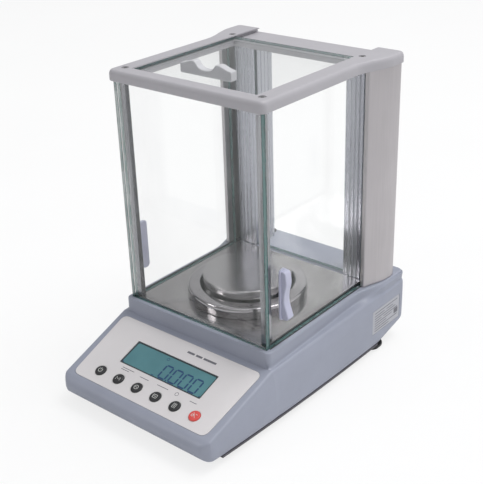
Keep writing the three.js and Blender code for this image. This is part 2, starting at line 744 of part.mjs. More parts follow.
function serialPort() {
  const body = socketBlock(SERIAL, 0, REAR_Y - 12, REAR_Y - 0.2);
  const mouth = outline([
    [SERIAL.x - 8.6, SERIAL.z + 4.2],
    [SERIAL.x - 7.6, SERIAL.z - 4.2],
    [SERIAL.x + 7.6, SERIAL.z - 4.2],
    [SERIAL.x + 8.6, SERIAL.z + 4.2],
  ]);
  return body.subtract(upright(mouth, REAR_Y - 6, REAR_Y + 2));
}
piece('serial_port', serialPort(), ZINC);

const cup = [[0, 75], [6, 75], [6, 80.3], [7.2, 80.3], [7.2, 81.2], [4.9, 81.2], [4.9, 77], [0, 77]];
const vial = [[0, 77.3], [4.6, 77.3], [4.6, 80.9], [3, 81.5], [0, 81.7]];
piece('level_housing', turned(cup, LEVEL.x, LEVEL.y, 20), BLACK_PLASTIC);
piece('level_vial', turned(vial, LEVEL.x, LEVEL.y, 20), LEVEL_FLUID);

// ---------------------------------------------------------------- draft shield

const glassLowZ = DECK_Z - 2 + CLEAR;
const frontGlass = block(
  -GLASS_HALF_WIDTH,
  GLASS_HALF_WIDTH,
  SHIELD_FRONT_Y,
  SHIELD_FRONT_Y + GLASS,
  glassLowZ,
  FRAME_Z + 2,
);
piece('front_glass', frontGlass, CLEAR_GLASS);

const REAR_GLASS_Y = COLUMN_FRONT_Y + 4;
const UPRIGHT_LOW_Z = DECK_Z + 0.5;
const UPRIGHT_HIGH_Z = FRAME_Z - CLEAR;
const rearGlass = block(-62.4, 62.4, REAR_GLASS_Y, REAR_GLASS_Y + GLASS, UPRIGHT_LOW_Z, UPRIGHT_HIGH_Z);
piece('rear_glass', rearGlass, CLEAR_GLASS);

// Corner post: an angle section with its long leg along the side door.
function frontPillar() {
  const y = SHIELD_FRONT_Y + GLASS + 0.4;
  const section = outline([
    [85.6, y],
    [85.6, y + 10],
    [84.2, y + 10],
    [84.2, y + 6],
    [80, y + 6],
    [80, y],
  ]);
  return slab(section, DECK_Z + 0.6, UPRIGHT_HIGH_Z);
}

// Column: a hollow extrusion with a slot for the rear glass.
function column() {
  const section = roundedRect(COLUMN_INNER_X, 85.2, COLUMN_FRONT_Y, COLUMN_REAR_Y, 1.5);
  const bar = slab(section, UPRIGHT_LOW_Z, UPRIGHT_HIGH_Z, 2);
  const hollow = slab(roundedRect(65.4, 79, 127.6, 145.6, 1), DECK_Z - 5, FRAME_Z + 5, 1);
  const slotRear = REAR_GLASS_Y + GLASS + CLEAR;
  const slot = block(50, 62.8, REAR_GLASS_Y - CLEAR, slotRear, DECK_Z - 5, FRAME_Z + 5);
  return bar.subtract(slot).subtract(hollow);
}

// Outer cover of a column; its plan follows the flare of the deck and of the top frame.
function columnCover() {
  const innerX = 90.8;
  const cornerY = COVER_FRONT_Y + 1.2;
  const faceX = (y) => 95.6 + 9.2 * (smooth(94, 134, y) - smooth(94, 134, cornerY));
  const points = [[innerX, COLUMN_REAR_Y], [innerX, COVER_FRONT_Y], [94.4, COVER_FRONT_Y]];
  for (const y of [cornerY, 106, 111, 116, 121, 126, 132]) {
    points.push([faceX(y), y]);
  }
  const widest = faceX(132);
  points.push([widest + 0.4, 140], [widest, 145], [widest - 1.4, 147.4]);
  points.push([widest - 3.4, COLUMN_REAR_Y]);
  return slab(outline(points), UPRIGHT_LOW_Z, UPRIGHT_HIGH_Z);
}

const DOOR = { front: SHIELD_FRONT_Y + GLASS + 0.5, rear: 108.5, low: 78.7, high: FRAME_Z + 1.8 };
function sideDoor() {
  const innerX = GLASS_HALF_WIDTH - GLASS;
  return block(innerX, GLASS_HALF_WIDTH, DOOR.front, DOOR.rear, DOOR.low, DOOR.high);
}

// A door's grip: a wavy upright rib on a flat pad.
function sideHandle() {
  const face = GLASS_HALF_WIDTH + CLEAR;
  const pad = across(roundedRect(-41, -24, 104, 158, 4), face, face + 2.2, 3);
  const rib = new THREE.Shape();
  rib.moveTo(face + 1, 105.5);
  rib.lineTo(face + 8, 105.5);
  rib.quadraticCurveTo(face + 10.5, 108, face + 9, 113);
  rib.quadraticCurveTo(face + 5.2, 124, face + 6, 134);
  rib.quadraticCurveTo(face + 8.6, 143, face + 8.2, 149);
  rib.quadraticCurveTo(face + 7, 156, face + 1, 156.5);
  return pad.add(upright(rib, -37, -28, 3));
}

// Plastic channel that a side door's lower edge runs in.
function doorTrack() {
  const frontY = SHIELD_FRONT_Y + GLASS + 2 * CLEAR;
  const highZ = DECK_Z + 0.2;
  const channel = block(TRACK.inner, TRACK.outer, frontY, TRACK.rear, TRACK.floorZ + CLEAR, highZ);
  const wayX = GLASS_HALF_WIDTH - GLASS - 0.4;
  const way = block(wayX, GLASS_HALF_WIDTH + 0.4, frontY - 5, TRACK.rear + 5, DOOR.low - 0.4, highZ + 5);
  return channel.subtract(way);
}

for (const [word, side] of [['left', -1], ['right', 1]]) {
  const facing = (shape) => (side < 0 ? mirrored(shape) : shape);
  piece(`${word}_front_pillar`, facing(frontPillar()), POLISHED);
  piece(`${word}_column`, facing(column()), SATIN);
  piece(`${word}_column_cover`, facing(columnCover()), SATIN);
  piece(`${word}_door_glass`, facing(sideDoor()), CLEAR_GLASS);
  piece(`${word}_door_handle`, facing(sideHandle()), GRIP);
  piece(`${word}_door_track`, facing(doorTrack()), BLACK_PLASTIC);
}

// ---------------------------------------------------------------- top frame and top door

function railX(y) {
  const flare = smooth(FLARE_START_Y, FLARE_END_Y, y);
  return RAIL_HALF_WIDTH + (RAIL_FLARED_HALF_WIDTH - RAIL_HALF_WIDTH) * flare;
}

// The frame's outline at one height, drawn in by an inset.
function frameRing(inset, z) {
  const front = SHIELD_FRONT_Y - 4 + inset;
  const narrow = RAIL_HALF_WIDTH;
  const wide = RAIL_FLARED_HALF_WIDTH;
  const points = [
    [0, front],
    [narrow - 7, front],
    [narrow - 2.1 - inset * 0.7, front + 2.1],
    [narrow - inset, front + 7],
  ];
  for (const y of [FLARE_START_Y, 90, 98, 106, 114, 122, FLARE_END_Y]) {
    points.push([railX(y) - inset, y]);
  }
  points.push(
    [wide - inset, CAP_REAR_Y - 6],
    [wide - 1.8 - inset, CAP_REAR_Y - 1.8 - inset * 0.5],
    [wide - 6, CAP_REAR_Y - inset],
    [0, CAP_REAR_Y - inset],
  );
  const right = points.map(([x, y]) => new THREE.Vector3(x, y, z));
  const left = points.slice(1, -1).reverse().map(([x, y]) => new THREE.Vector3(-x, y, z));
  return [...right, ...left];
}

const TOP_GLASS = { low: 320.4, high: 323.4, halfWidth: 78.8 };
function topFrame() {
  const rings = [
    frameRing(0.4, FRAME_Z),
    frameRing(0, FRAME_Z + 1),
    frameRing(0, FRAME_Z + 6),
    frameRing(1.2, FRAME_TOP_Z - 1),
    frameRing(2.4, FRAME_TOP_Z),
  ];
  let frame = stack(rings, (point) => new THREE.Vector2(point.x, point.y));
  const inner = RAIL_INNER_X;
  const aboveZ = FRAME_TOP_Z + 5;
  const opening = block(-inner, inner, OPENING_FRONT_Y, REAR_BAR_Y, FRAME_Z - 5, aboveZ);
  const lowered = block(-inner, inner, REAR_BAR_Y - 1, CAP_REAR_Y + 5, REAR_BAR_TOP_Z, aboveZ);
  const slotX = TOP_GLASS.halfWidth + 0.5;
  const slotFront = OPENING_FRONT_Y - 2.4;
  const slotTop = TOP_GLASS.high + 0.4;
  const glassSlot = block(-slotX, slotX, slotFront, CAP_REAR_Y + 5, REAR_BAR_TOP_Z, slotTop);
  frame = frame.subtract(opening).subtract(lowered).subtract(glassSlot);
  const frontSlot = block(
    -GLASS_HALF_WIDTH - CLEAR,
    GLASS_HALF_WIDTH + CLEAR,
    SHIELD_FRONT_Y - CLEAR,
    SHIELD_FRONT_Y + GLASS + CLEAR,
    FRAME_Z - 5,
    FRAME_Z + 2.3,
  );
  const doorSlot = block(
    GLASS_HALF_WIDTH - GLASS - 0.4,
    GLASS_HALF_WIDTH + 0.4,
    SHIELD_FRONT_Y + 3,
    CAP_REAR_Y + 5,
    FRAME_Z - 5,
    FRAME_Z + 2.3,
  );
  frame = frame.subtract(frontSlot).subtract(doorSlot).subtract(mirrored(doorSlot));
  const shankZ = SCREW.lowZ - 0.4;
  const shank = [[0, shankZ], [1.9, shankZ], [1.9, FRAME_TOP_Z - 2.6]];
  const countersink = [[3.6, FRAME_TOP_Z - 1], [3.6, FRAME_TOP_Z + 5], [0, FRAME_TOP_Z + 5]];
  for (const [x, y] of frameScrewPlaces()) {
    frame = frame.subtract(turned([...shank, ...countersink], x, y, 12));
  }
  return frame;
}

function frameScrewPlaces() {
  return [
    [-SCREW.x, SCREW.frontY],
    [SCREW.x, SCREW.frontY],
    [1.5 - SCREW.x, SCREW.rearY],
    [SCREW.x - 1.5, SCREW.rearY],
  ];
}

piece('top_frame', topFrame(), FRAME_PAINT);
frameScrewPlaces().forEach(([x, y], index) => {
  const shank = [[0, SCREW.lowZ], [1.5, SCREW.lowZ], [1.5, 322.8]];
  const profile = [...shank, [3.2, 324.3], [3.2, 324.7], [0, 324.7]];
  piece(`frame_screw_${POST_NAMES[index]}`, turned(profile, x, y, 12), ZINC);
});

function topDoor() {
  const { low, high, halfWidth } = TOP_GLASS;
  return block(-halfWidth, halfWidth, OPENING_FRONT_Y - 2, 109, low, high);
}
piece('top_door_glass', topDoor(), CLEAR_GLASS);

// Upright grip on the top glass, with a round finger notch between two horns.
function topHandle() {
  const low = TOP_GLASS.high + CLEAR;
  const shape = new THREE.Shape();
  shape.moveTo(-31, low);
  shape.lineTo(31, low);
  shape.lineTo(31, low + 8);
  shape.quadraticCurveTo(30, low + 9.5, 27, low + 9.8);
  shape.lineTo(17, low + 13.2);
  shape.lineTo(14, low + 13.2);
  shape.quadraticCurveTo(9, low + 6.2, 0, low + 6.2);
  shape.quadraticCurveTo(-9, low + 6.2, -14, low + 13.2);
  shape.lineTo(-17, low + 13.2);
  shape.lineTo(-27, low + 9.8);
  shape.quadraticCurveTo(-30, low + 9.5, -31, low + 8);
  return upright(shape, -26.5, -18, 4);
}
piece('top_door_handle', topHandle(), GRIP);

export default balance;
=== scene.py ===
"""Looks of the analytical balance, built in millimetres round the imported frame."""

import json
import math

import bmesh
import bpy
from mathutils import Matrix, Vector


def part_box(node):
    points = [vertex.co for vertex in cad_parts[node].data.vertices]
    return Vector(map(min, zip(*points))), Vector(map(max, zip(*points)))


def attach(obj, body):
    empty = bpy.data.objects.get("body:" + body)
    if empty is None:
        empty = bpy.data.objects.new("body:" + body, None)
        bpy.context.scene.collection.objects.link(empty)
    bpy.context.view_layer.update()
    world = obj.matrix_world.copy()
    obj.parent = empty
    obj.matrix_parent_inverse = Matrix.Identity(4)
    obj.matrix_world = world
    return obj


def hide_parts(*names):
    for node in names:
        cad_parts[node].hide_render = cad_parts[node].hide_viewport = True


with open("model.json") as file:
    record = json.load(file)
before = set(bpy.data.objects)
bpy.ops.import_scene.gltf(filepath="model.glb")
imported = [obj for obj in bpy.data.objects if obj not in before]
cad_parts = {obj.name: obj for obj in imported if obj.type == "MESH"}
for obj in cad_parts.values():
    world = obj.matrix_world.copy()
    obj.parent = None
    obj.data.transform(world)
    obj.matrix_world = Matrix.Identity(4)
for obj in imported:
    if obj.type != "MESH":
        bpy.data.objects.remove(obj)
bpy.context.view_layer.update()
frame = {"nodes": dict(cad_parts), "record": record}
NODES = frame["nodes"]
scene = bpy.context.scene

# ---------------- driving dimensions, mm

HALF_WIDTH = 108.5
REAR_Y = 163
DECK_Z = 80
BOTTOM_Z = 9
PLINTH_HALF = 95.5
PLINTH_FLARE = 11
FLARE_START_Y = 80
FLARE_END_Y = 130
TAPER = 9.8
TAPER_START_Y = 102.5
TAPER_LENGTH = 260
REAR_LIFT = 10
LIFT_START_Y = 117
PANEL_TOP_Y = -62
PANEL_TOP_Z = 63
PANEL_TILT = math.radians(19)
PANEL_LENGTH = 93
SHOULDER_X = 100.5
NOSE_RADIUS = 12
CORNER_RADIUS = 13
KEY_COUNT = 6
KEY_RADIUS = 6
KEY_ROW = 76.4
KEY_PITCH = 25.3
KEY_MIDDLE_X = 1.5
KEY_TOP = 1.5
FILM_TOP = 0.2
LCD = {"left": -52, "right": 56, "top": 28, "bottom": 58.5}
LCD_FACE = -0.69
LCD_INK = 0.03
SHIELD_FRONT_Y = -57.5
FRONT_SLOT = (-90.3, 90.3, -57.8, -53.2)
FRAME_Z = 314.2
REAR_BAR_Z = 320
RAIL_INNER_X = 76
RAIL_OUTER_X = 94.7
CAP_OUTER_X = 106
CAP_REAR_Y = 149.5
COLUMN_Z = (80.5, 313.9)
COLUMN_REAR_Y = 148.2
COVER_INNER_X = 90.8
COVER_CORNER_Y = 102.7
COVER_BOW = (94, 134)
PAN_Y = 24.5
PAN_RADIUS = 46.5
RING_RADIUS = 63
ROUND_SEGMENTS = 160
SCREW_Z = (316.4, 324.7)
LEVEL_PLACE = (-72, 155.6)
SERIAL_X = -30
POWER_X = -84
SOCKET_Z = 42
LABEL = {"front": 101, "rear": 154, "low": 26, "high": 54}
REAR_FOOT = (94.5, 119)
FRONT_FOOT = (80, -116)
FRAME_SCREWS = [
    ("front_left", -83, -47), ("front_right", 83, -47), ("rear_left", -81.5, 109), ("rear_right", 81.5, 109)
]
BASE_SCREWS = [
    ("front_left", -86, -52), ("front_right", 86, -52), ("rear_left", -58, 148), ("rear_right", 58, 148)
]
FRAME_LEVELS = [
    (0, 0.5), (0.3, 0.15), (0.8, 0), (5.8, 0), (7.8, 0.35), (9.2, 1.0), (10.1, 1.8), (10.6, 2.7), (10.8, 3.8)
]
TITLE_BARS = [(6.3, 15.5), (17.5, 25.5), (27.5, 43.6)]
DATA_BARS = [
    (-43.5, -27.4, 62.4), (-17.9, -6, 64), (5.6, 20.1, 63.8), (48.8, 57.3, 64.6), (-43.5, -33, 64.6)
]
LABEL_LINES = [
    (50.5, 105, 150), (47, 105, 124), (47, 128, 141), (44, 105, 146), (41, 105, 118), (41, 122, 150),
    (38, 105, 139), (35, 105, 128), (32, 105, 150), (29, 105, 133),
]
GLASS_EDGE = 0.5
SOFT_EDGES = {
    "base_plate": 0.4, "chamber_floor": 0.2, "left_door_track": 0.25, "right_door_track": 0.25,
    "rating_label": 0.1,
}

CAMERA_YAW = math.radians(40.45)
CAMERA_PITCH = math.radians(25.73)
CAMERA_ROLL = math.radians(-1.92)
CAMERA_PLACE = (0.57567, -0.66081, 0.56736)
CAMERA_LENS = 71.35
FLOOR_HALF = 7
NOISE_LOW = 0.3
NOISE_HIGH = 0.7
WELD_GAP = 0.00001

NOSE_START_Y = PANEL_TOP_Y - PANEL_LENGTH * math.cos(PANEL_TILT)
NOSE_START_Z = PANEL_TOP_Z - PANEL_LENGTH * math.sin(PANEL_TILT)
NOSE_CENTRE_Y = NOSE_START_Y + NOSE_RADIUS * math.sin(PANEL_TILT)
NOSE_CENTRE_Z = NOSE_START_Z - NOSE_RADIUS * math.cos(PANEL_TILT)
NOSE_Y = NOSE_CENTRE_Y - NOSE_RADIUS

pan_low, pan_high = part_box("weighing_pan")
SHIFT_Y = (pan_low.y + pan_high.y) / 2 - PAN_Y / 1000
TO_FRAME = Matrix.Translation((0, SHIFT_Y, 0)) @ Matrix.Scale(0.001, 4)
TO_PANEL = Matrix.Translation((0, PANEL_TOP_Y, PANEL_TOP_Z)) @ Matrix.Rotation(PANEL_TILT, 4, "X")


# ---------------- mesh helpers


def smooth_step(low, high, value):
    """0 to 1, without a kink, as a value passes from low to high."""
    t = min(1.0, max(0.0, (value - low) / (high - low)))
    return t * t * (3 - 2 * t)


def lerp(a, b, t):
    return a + (b - a) * t


def softened(points, cuts, steps=4, closed=False):
    """Rounds each corner of an outline by its cut length."""
    out = []
    count = len(points)
    for i, point in enumerate(points):
        cut = cuts[i] if isinstance(cuts, (list, tuple)) else cuts
        if cut == 0 or (not closed and i in (0, count - 1)):
            out.append(tuple(point))
            continue
        here = Vector(point)
        before = Vector(points[i - 1]) - here
        after = Vector(points[(i + 1) % count]) - here
        start = here + before * min(0.45, cut / max(before.length, 1e-6))
        end = here + after * min(0.45, cut / max(after.length, 1e-6))
        for step in range(steps + 1):
            t = step / steps
            out.append(tuple(start * (1 - t) ** 2 + here * 2 * t * (1 - t) + end * t * t))
    return out


def circle(x, y, r, count=48, start=0.0, turn=360.0):
    """Points round a circle, or along an arc of it."""
    closed = turn == 360.0
    last = count if closed else count - 1
    angles = [math.radians(start + turn * i / last) for i in range(count)]
    return [(x + r * math.cos(a), y + r * math.sin(a)) for a in angles]


def rounded_rect(x0, x1, y0, y1, r, steps=6):
    left = x0 + r
    right = x1 - r
    corners = [(right, y0 + r, -90), (right, y1 - r, 0), (left, y1 - r, 90), (left, y0 + r, 180)]
    return [point for x, y, start in corners for point in circle(x, y, r, steps + 1, start, 90)]


def mesh_from(points, faces):
    """Mesh with doubled points joined and its faces turned outwards."""
    mesh = bpy.data.meshes.new("shape")
    mesh.from_pydata([tuple(p) for p in points], [], faces)
    work = bmesh.new()
    work.from_mesh(mesh)
    bmesh.ops.remove_doubles(work, verts=work.verts, dist=1e-5)
    bmesh.ops.recalc_face_normals(work, faces=work.faces)
    work.to_mesh(mesh)
    work.free()
    return mesh


def loft(rings):
    """Closed skin over rings that have the same number of points."""
    count = len(rings[0])
    points = [p for ring in rings for p in ring]
    faces = []
    for row in range(len(rings) - 1):
        for i in range(count):
            a = row * count + i
            b = row * count + (i + 1) % count
            faces.append((a, b, b + count, a + count))
    last = (len(rings) - 1) * count
    faces.append(tuple(reversed(range(count))))
    faces.append(tuple(range(last, last + count)))
    return mesh_from(points, faces)


def prism(outline, low, high, axis="z"):
    """Outline pushed along an axis: XY along z, YZ along x, XZ along y."""
    place = {
        "z": lambda a, b, c: (a, b, c),
        "x": lambda a, b, c: (c, a, b),
        "y": lambda a, b, c: (a, c, b),
    }[axis]
    return loft([[place(a, b, c) for a, b in outline] for c in (low, high)])


def block(x0, x1, y0, y1, z0, z1):
    return prism([(x0, y0), (x1, y0), (x1, y1), (x0, y1)], z0, z1)


def side_blocks(x0, x1, y0, y1, z0, z1):
    """The same block on the right and on the left."""
    return [block(x0, x1, y0, y1, z0, z1), block(-x1, -x0, y0, y1, z0, z1)]


def turned(profile, x=0, y=0, segments=96, wobble=None):
    """Lathe of (radius, height) pairs; a profile that meets itself is a ring."""
    ring_shape = Vector(profile[0]) == Vector(profile[-1])
    rows = profile[:-1] if ring_shape else profile
    points = []
    index = []
    for radius, height in rows:
        if radius < 1e-6:
            index.append([len(points)] * segments)
            points.append((x, y, height))
            continue
        index.append([len(points) + i for i in range(segments)])
        for i in range(segments):
            angle = 2 * math.pi * i / segments
            r = radius + (wobble(angle, radius) if wobble else 0)
            points.append((x + r * math.cos(angle), y + r * math.sin(angle), height))
    faces = []
    pairs = list(zip(index, index[1:])) + ([(index[-1], index[0])] if ring_shape else [])
    for low, high in pairs:
        for i in range(segments):
            j = (i + 1) % segments
            corners = dict.fromkeys((low[i], low[j], high[j], high[i]))
            if len(corners) > 2:
                faces.append(tuple(corners))
    return mesh_from(points, faces)


def joined(meshes):
    work = bmesh.new()
    for mesh in meshes:
        work.from_mesh(mesh)
    result = bpy.data.meshes.new("shape")
    work.to_mesh(result)
    work.free()
    return result


def moved(mesh, matrix):
    result = mesh.copy()
    result.transform(matrix)
    if matrix.determinant() < 0:
        result.flip_normals()
    return result


def on_side(word, mesh):
    """Mirrors a mesh drawn on the right when it belongs on the left."""
    return moved(mesh, Matrix.Scale(-1, 4, (1, 0, 0))) if word == "left" else mesh


def plate(outlines, z0, z1):
    """Flat plate: the first outline is its edge and the others are holes in it."""
    curve = bpy.data.curves.new("plate", "CURVE")
    curve.dimensions = "2D"
    curve.fill_mode = "BOTH"
    curve.extrude = (z1 - z0) / 2
    for outline in outlines:
        spline = curve.splines.new("POLY")
        spline.points.add(len(outline) - 1)
        for point, (a, b) in zip(spline.points, outline):
            point.co = (a, b, 0, 1)
        spline.use_cyclic_u = True
    holder = bpy.data.objects.new("plate", curve)
    scene.collection.objects.link(holder)
    graph = bpy.context.evaluated_depsgraph_get()
    raw = bpy.data.meshes.new_from_object(holder.evaluated_get(graph))
    bpy.data.objects.remove(holder)
    bpy.data.curves.remove(curve)
    work = bmesh.new()
    work.from_mesh(raw)
    bmesh.ops.remove_doubles(work, verts=work.verts, dist=1e-4)
    bmesh.ops.translate(work, verts=work.verts, vec=(0, 0, (z0 + z1) / 2))
    bmesh.ops.recalc_face_normals(work, faces=work.faces)
    work.to_mesh(raw)
    work.free()
    return raw


def carve(mesh, *cutter_sets):
    """Takes away sets of cutters; the cutters within one set don't overlap."""
    holder = bpy.data.objects.new("carved", mesh)
    scene.collection.objects.link(holder)
    tools = []
    for cutters in cutter_sets:
        tool = bpy.data.objects.new("tool", joined(cutters))
        scene.collection.objects.link(tool)
        modifier = holder.modifiers.new("cut", "BOOLEAN")
        modifier.operation = "DIFFERENCE"
        modifier.solver = "EXACT"
        modifier.object = tool
        tools.append(tool)
    graph = bpy.context.evaluated_depsgraph_get()
    result = bpy.data.meshes.new_from_object(holder.evaluated_get(graph))
    for item in [holder, *tools]:
        bpy.data.objects.remove(item)
    return result


def bevel(obj, width, segments=2, angle=40):
    """Rounds an object's sharp edges; the width is in millimetres."""
    modifier = obj.modifiers.new("edge", "BEVEL")
    modifier.width = width / 1000
    modifier.segments = segments
    modifier.limit_method = "ANGLE"
    modifier.angle_limit = math.radians(angle)
    modifier.harden_normals = True
    modifier.use_clamp_overlap = True


def add(name, mesh, body, slot, replaces=(), finish=None, edge=0, sharp=32, weighted=False, place=None):
    """Puts a mesh drawn in millimetres on a body, with the finish of its slot."""
    shape = moved(mesh, TO_FRAME @ (place or Matrix.Identity(4)))
    shape.name = name
    shape.shade_smooth()
    shape.set_sharp_from_angle(angle=math.radians(sharp))
    obj = bpy.data.objects.new(name, shape)
    scene.collection.objects.link(obj)
    shape.materials.clear()
    shape.materials.append(finish or FINISH[slot])
    if edge:
        bevel(obj, edge)
    if weighted:
        modifier = obj.modifiers.new("normals", "WEIGHTED_NORMAL")
        modifier.keep_sharp = True
        modifier.weight = 80
    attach(obj, body)
    if replaces:
        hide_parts(*replaces)
    return obj


# ---------------- material helpers


class Nodes:
    """Node tree of a material or a world, with short calls for its nodes."""

    def __init__(self, name, kind="materials", shader="Principled BSDF"):
        self.owner = getattr(bpy.data, kind).new(name)
        self.owner.use_nodes = True
        self.tree = self.owner.node_tree
        self.shader = self.tree.nodes[shader]

    def new(self, kind, inputs=None, **settings):
        node = self.tree.nodes.new(kind)
        for key, value in settings.items():
            setattr(node, key, value)
        for key, value in (inputs or {}).items():
            self.feed(node.inputs[key], value)
        return node

    def feed(self, socket, value):
        if isinstance(value, bpy.types.NodeSocket):
            self.tree.links.new(value, socket)
        else:
            socket.default_value = value

    def set(self, **values):
        for key, value in values.items():
            self.feed(self.shader.inputs[key.replace("_", " ")], value)

    def coordinates(self, scale=(1, 1, 1)):
        source = self.new("ShaderNodeTexCoord").outputs["Object"]
        return self.new("ShaderNodeMapping", {"Vector": source, "Scale": scale}).outputs[0]

    def noise(self, scale, stretch=(1, 1, 1), detail=3.0, rough=0.55):
        vector = self.coordinates(stretch)
        inputs = {"Vector": vector, "Scale": scale, "Detail": detail, "Roughness": rough}
        return self.new("ShaderNodeTexNoise", inputs).outputs[0]

    def spread(self, value, low, high):
        """Stretches a noise's usual range to low and high."""
        inputs = {"From Min": NOISE_LOW, "From Max": NOISE_HIGH, "To Min": low, "To Max": high}
        return self.new("ShaderNodeMapRange", {"Value": value, **inputs}).outputs[0]

    def blend(self, value, first, second):
        node = self.new("ShaderNodeMix", data_type="RGBA")
        self.feed(node.inputs[0], value)
        self.feed(node.inputs[6], first)
        self.feed(node.inputs[7], second)
        return node.outputs[2]

    def mottled(self, colour, variation, scale, detail):
        """Colour that slowly changes its tone."""
        slow = self.spread(self.noise(scale, detail=detail), 0, 1)
        return self.blend(slow, tone(colour, 1 - variation), tone(colour, 1 + variation))

    def maths(self, operation, first, second=0.0):
        node = self.new("ShaderNodeMath", operation=operation)
        self.feed(node.inputs[0], first)
        self.feed(node.inputs[1], second)
        return node.outputs[0]

    def bump(self, value, strength, distance):
        inputs = {"Height": value, "Strength": strength, "Distance": distance}
        self.feed(self.shader.inputs["Normal"], self.new("ShaderNodeBump", inputs).outputs[0])


def tone(colour, factor):
    """Opaque colour made lighter or darker by a factor."""
    return (*(min(1.0, c * factor) for c in colour), 1.0)


def painted(name, colour, roughness=0.42, variation=0.06, grain=1400, coat=0.0):
    """Satin paint or moulded plastic: fine orange peel and slow changes of tone."""
    n = Nodes(name)
    fine = n.noise(grain, detail=2)
    speckled = n.blend(n.spread(fine, 0, 0.35), n.mottled(colour, variation, 14, 4), tone(colour, 0.9))
    n.set(Base_Color=speckled, Metallic=0.0, Coat_Weight=coat, Coat_Roughness=0.2)
    n.set(Roughness=n.spread(n.noise(60), roughness - 0.05, roughness + 0.07))
    n.bump(fine, 0.12, 0.00008)
    return n.owner


def brushed(
    name, colour, roughness, stretch=(1, 1, 1), metallic=1.0,
    strength=0.25, variation=0.12, streak=500, dark=0.78,
):
    """Brushed metal: streaks along the axis whose stretch is small."""
    n = Nodes(name)
    lines = n.noise(streak, stretch, detail=5, rough=0.7)
    lined = n.blend(n.spread(lines, 0, 0.8), n.mottled(colour, variation, 9, 3), tone(colour, dark))
    n.set(Base_Color=lined, Metallic=metallic)
    n.set(Roughness=n.spread(lines, roughness - 0.06, roughness + 0.12))
    n.bump(lines, strength, 0.00006)
    return n.owner


def spun_steel():
    """Pan steel turned on a lathe: fine circles and a radial sheen."""
    n = Nodes("spun_steel")
    low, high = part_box("weighing_pan")
    middle = (low + high) / 2
    place = n.new("ShaderNodeTexCoord").outputs["Object"]
    offset = n.new("ShaderNodeVectorMath", {0: place, 1: tuple(-middle)}, operation="ADD").outputs[0]
    flat = n.new("ShaderNodeVectorMath", {0: offset, 1: (1, 1, 0)}, operation="MULTIPLY").outputs[0]
    radius = n.new("ShaderNodeVectorMath", {0: flat}, operation="LENGTH").outputs[1]
    circles = n.new("ShaderNodeTexNoise", {"W": radius, "Scale": 5200, "Detail": 3}, noise_dimensions="1D")
    speck = n.noise(900, detail=3)
    base = n.blend(n.spread(speck, 0, 1), (0.36, 0.35, 0.36, 1), (0.50, 0.485, 0.48, 1))
    n.set(Base_Color=base, Metallic=0.95, Anisotropic=0.45)
    n.set(Roughness=n.spread(circles.outputs[0], 0.12, 0.22))
    tangent = n.new("ShaderNodeTangent", direction_type="RADIAL", axis="Z").outputs[0]
    n.feed(n.shader.inputs["Tangent"], tangent)
    n.bump(n.maths("ADD", circles.outputs[0], n.maths("MULTIPLY", speck, 0.5)), 0.18, 0.00005)
    return n.owner


def polished(name, colour, roughness):
    """Polished metal: slow smears and faint scratches."""
    n = Nodes(name)
    smear = n.noise(30, detail=3)
    scratches = n.noise(700, (1, 1, 0.08), detail=4)
    n.set(Base_Color=n.blend(n.spread(smear, 0, 1), tone(colour, 0.9), tone(colour, 1.08)))
    n.set(Metallic=1.0, Roughness=n.spread(smear, roughness - 0.03, roughness + 0.08))
    n.bump(scratches, 0.05, 0.00004)
    return n.owner


def clear_glass(thin_axis):
    """Float glass: clear faces that reflect at a slant, and green cut edges."""
    n = Nodes(f"clear_glass_{thin_axis}")
    normal = n.new("ShaderNodeTexCoord").outputs["Normal"]
    along = n.new("ShaderNodeSeparateXYZ", {0: normal}).outputs[thin_axis]
    is_face = n.maths("GREATER_THAN", n.maths("ABSOLUTE", along), 0.8)
    facing = n.new("ShaderNodeLayerWeight", {"Blend": 0.5}).outputs["Facing"]
    slant = n.maths("POWER", facing, 5.0)
    smear = n.spread(n.noise(22, detail=4), 0.02, 0.045)
    clear = n.maths("ADD", n.maths("MULTIPLY", slant, 0.6), smear)
    edge = n.spread(n.noise(240, (1, 1, 0.2), detail=4), 0.62, 0.9)
    alpha = n.new("ShaderNodeMix", {0: is_face}, data_type="FLOAT")
    n.feed(alpha.inputs[2], edge)
    n.feed(alpha.inputs[3], clear)
    n.set(Base_Color=n.blend(is_face, (0.10, 0.19, 0.185, 1), (0.93, 0.97, 0.95, 1)))
    n.set(Metallic=is_face, Alpha=alpha.outputs[0])
    n.set(Roughness=n.spread(n.noise(40), 0.015, 0.05))
    return n.owner


def glass_edge():
    """The ground rim of a glass, dark green and nearly opaque."""
    n = Nodes("glass_edge")
    wear = n.spread(n.noise(260, (1, 1, 0.3), detail=4), 0, 1)
    n.set(Base_Color=n.blend(wear, (0.02, 0.065, 0.06, 1), (0.055, 0.13, 0.12, 1)))
    n.set(Roughness=0.16, Alpha=n.spread(wear, 0.80, 0.95))
    return n.owner


def lcd_glass():
    n = Nodes("lcd_film")
    slow = n.spread(n.noise(18, detail=3), 0, 1)
    weave = n.noise(2600, detail=1)
    base = n.blend(slow, (0.055, 0.185, 0.215, 1), (0.085, 0.25, 0.275, 1))
    n.set(Base_Color=n.blend(n.spread(weave, 0, 0.3), base, (0.05, 0.15, 0.17, 1)))
    n.set(Roughness=0.32, Coat_Weight=0.6, Coat_Roughness=0.08)
    return n.owner


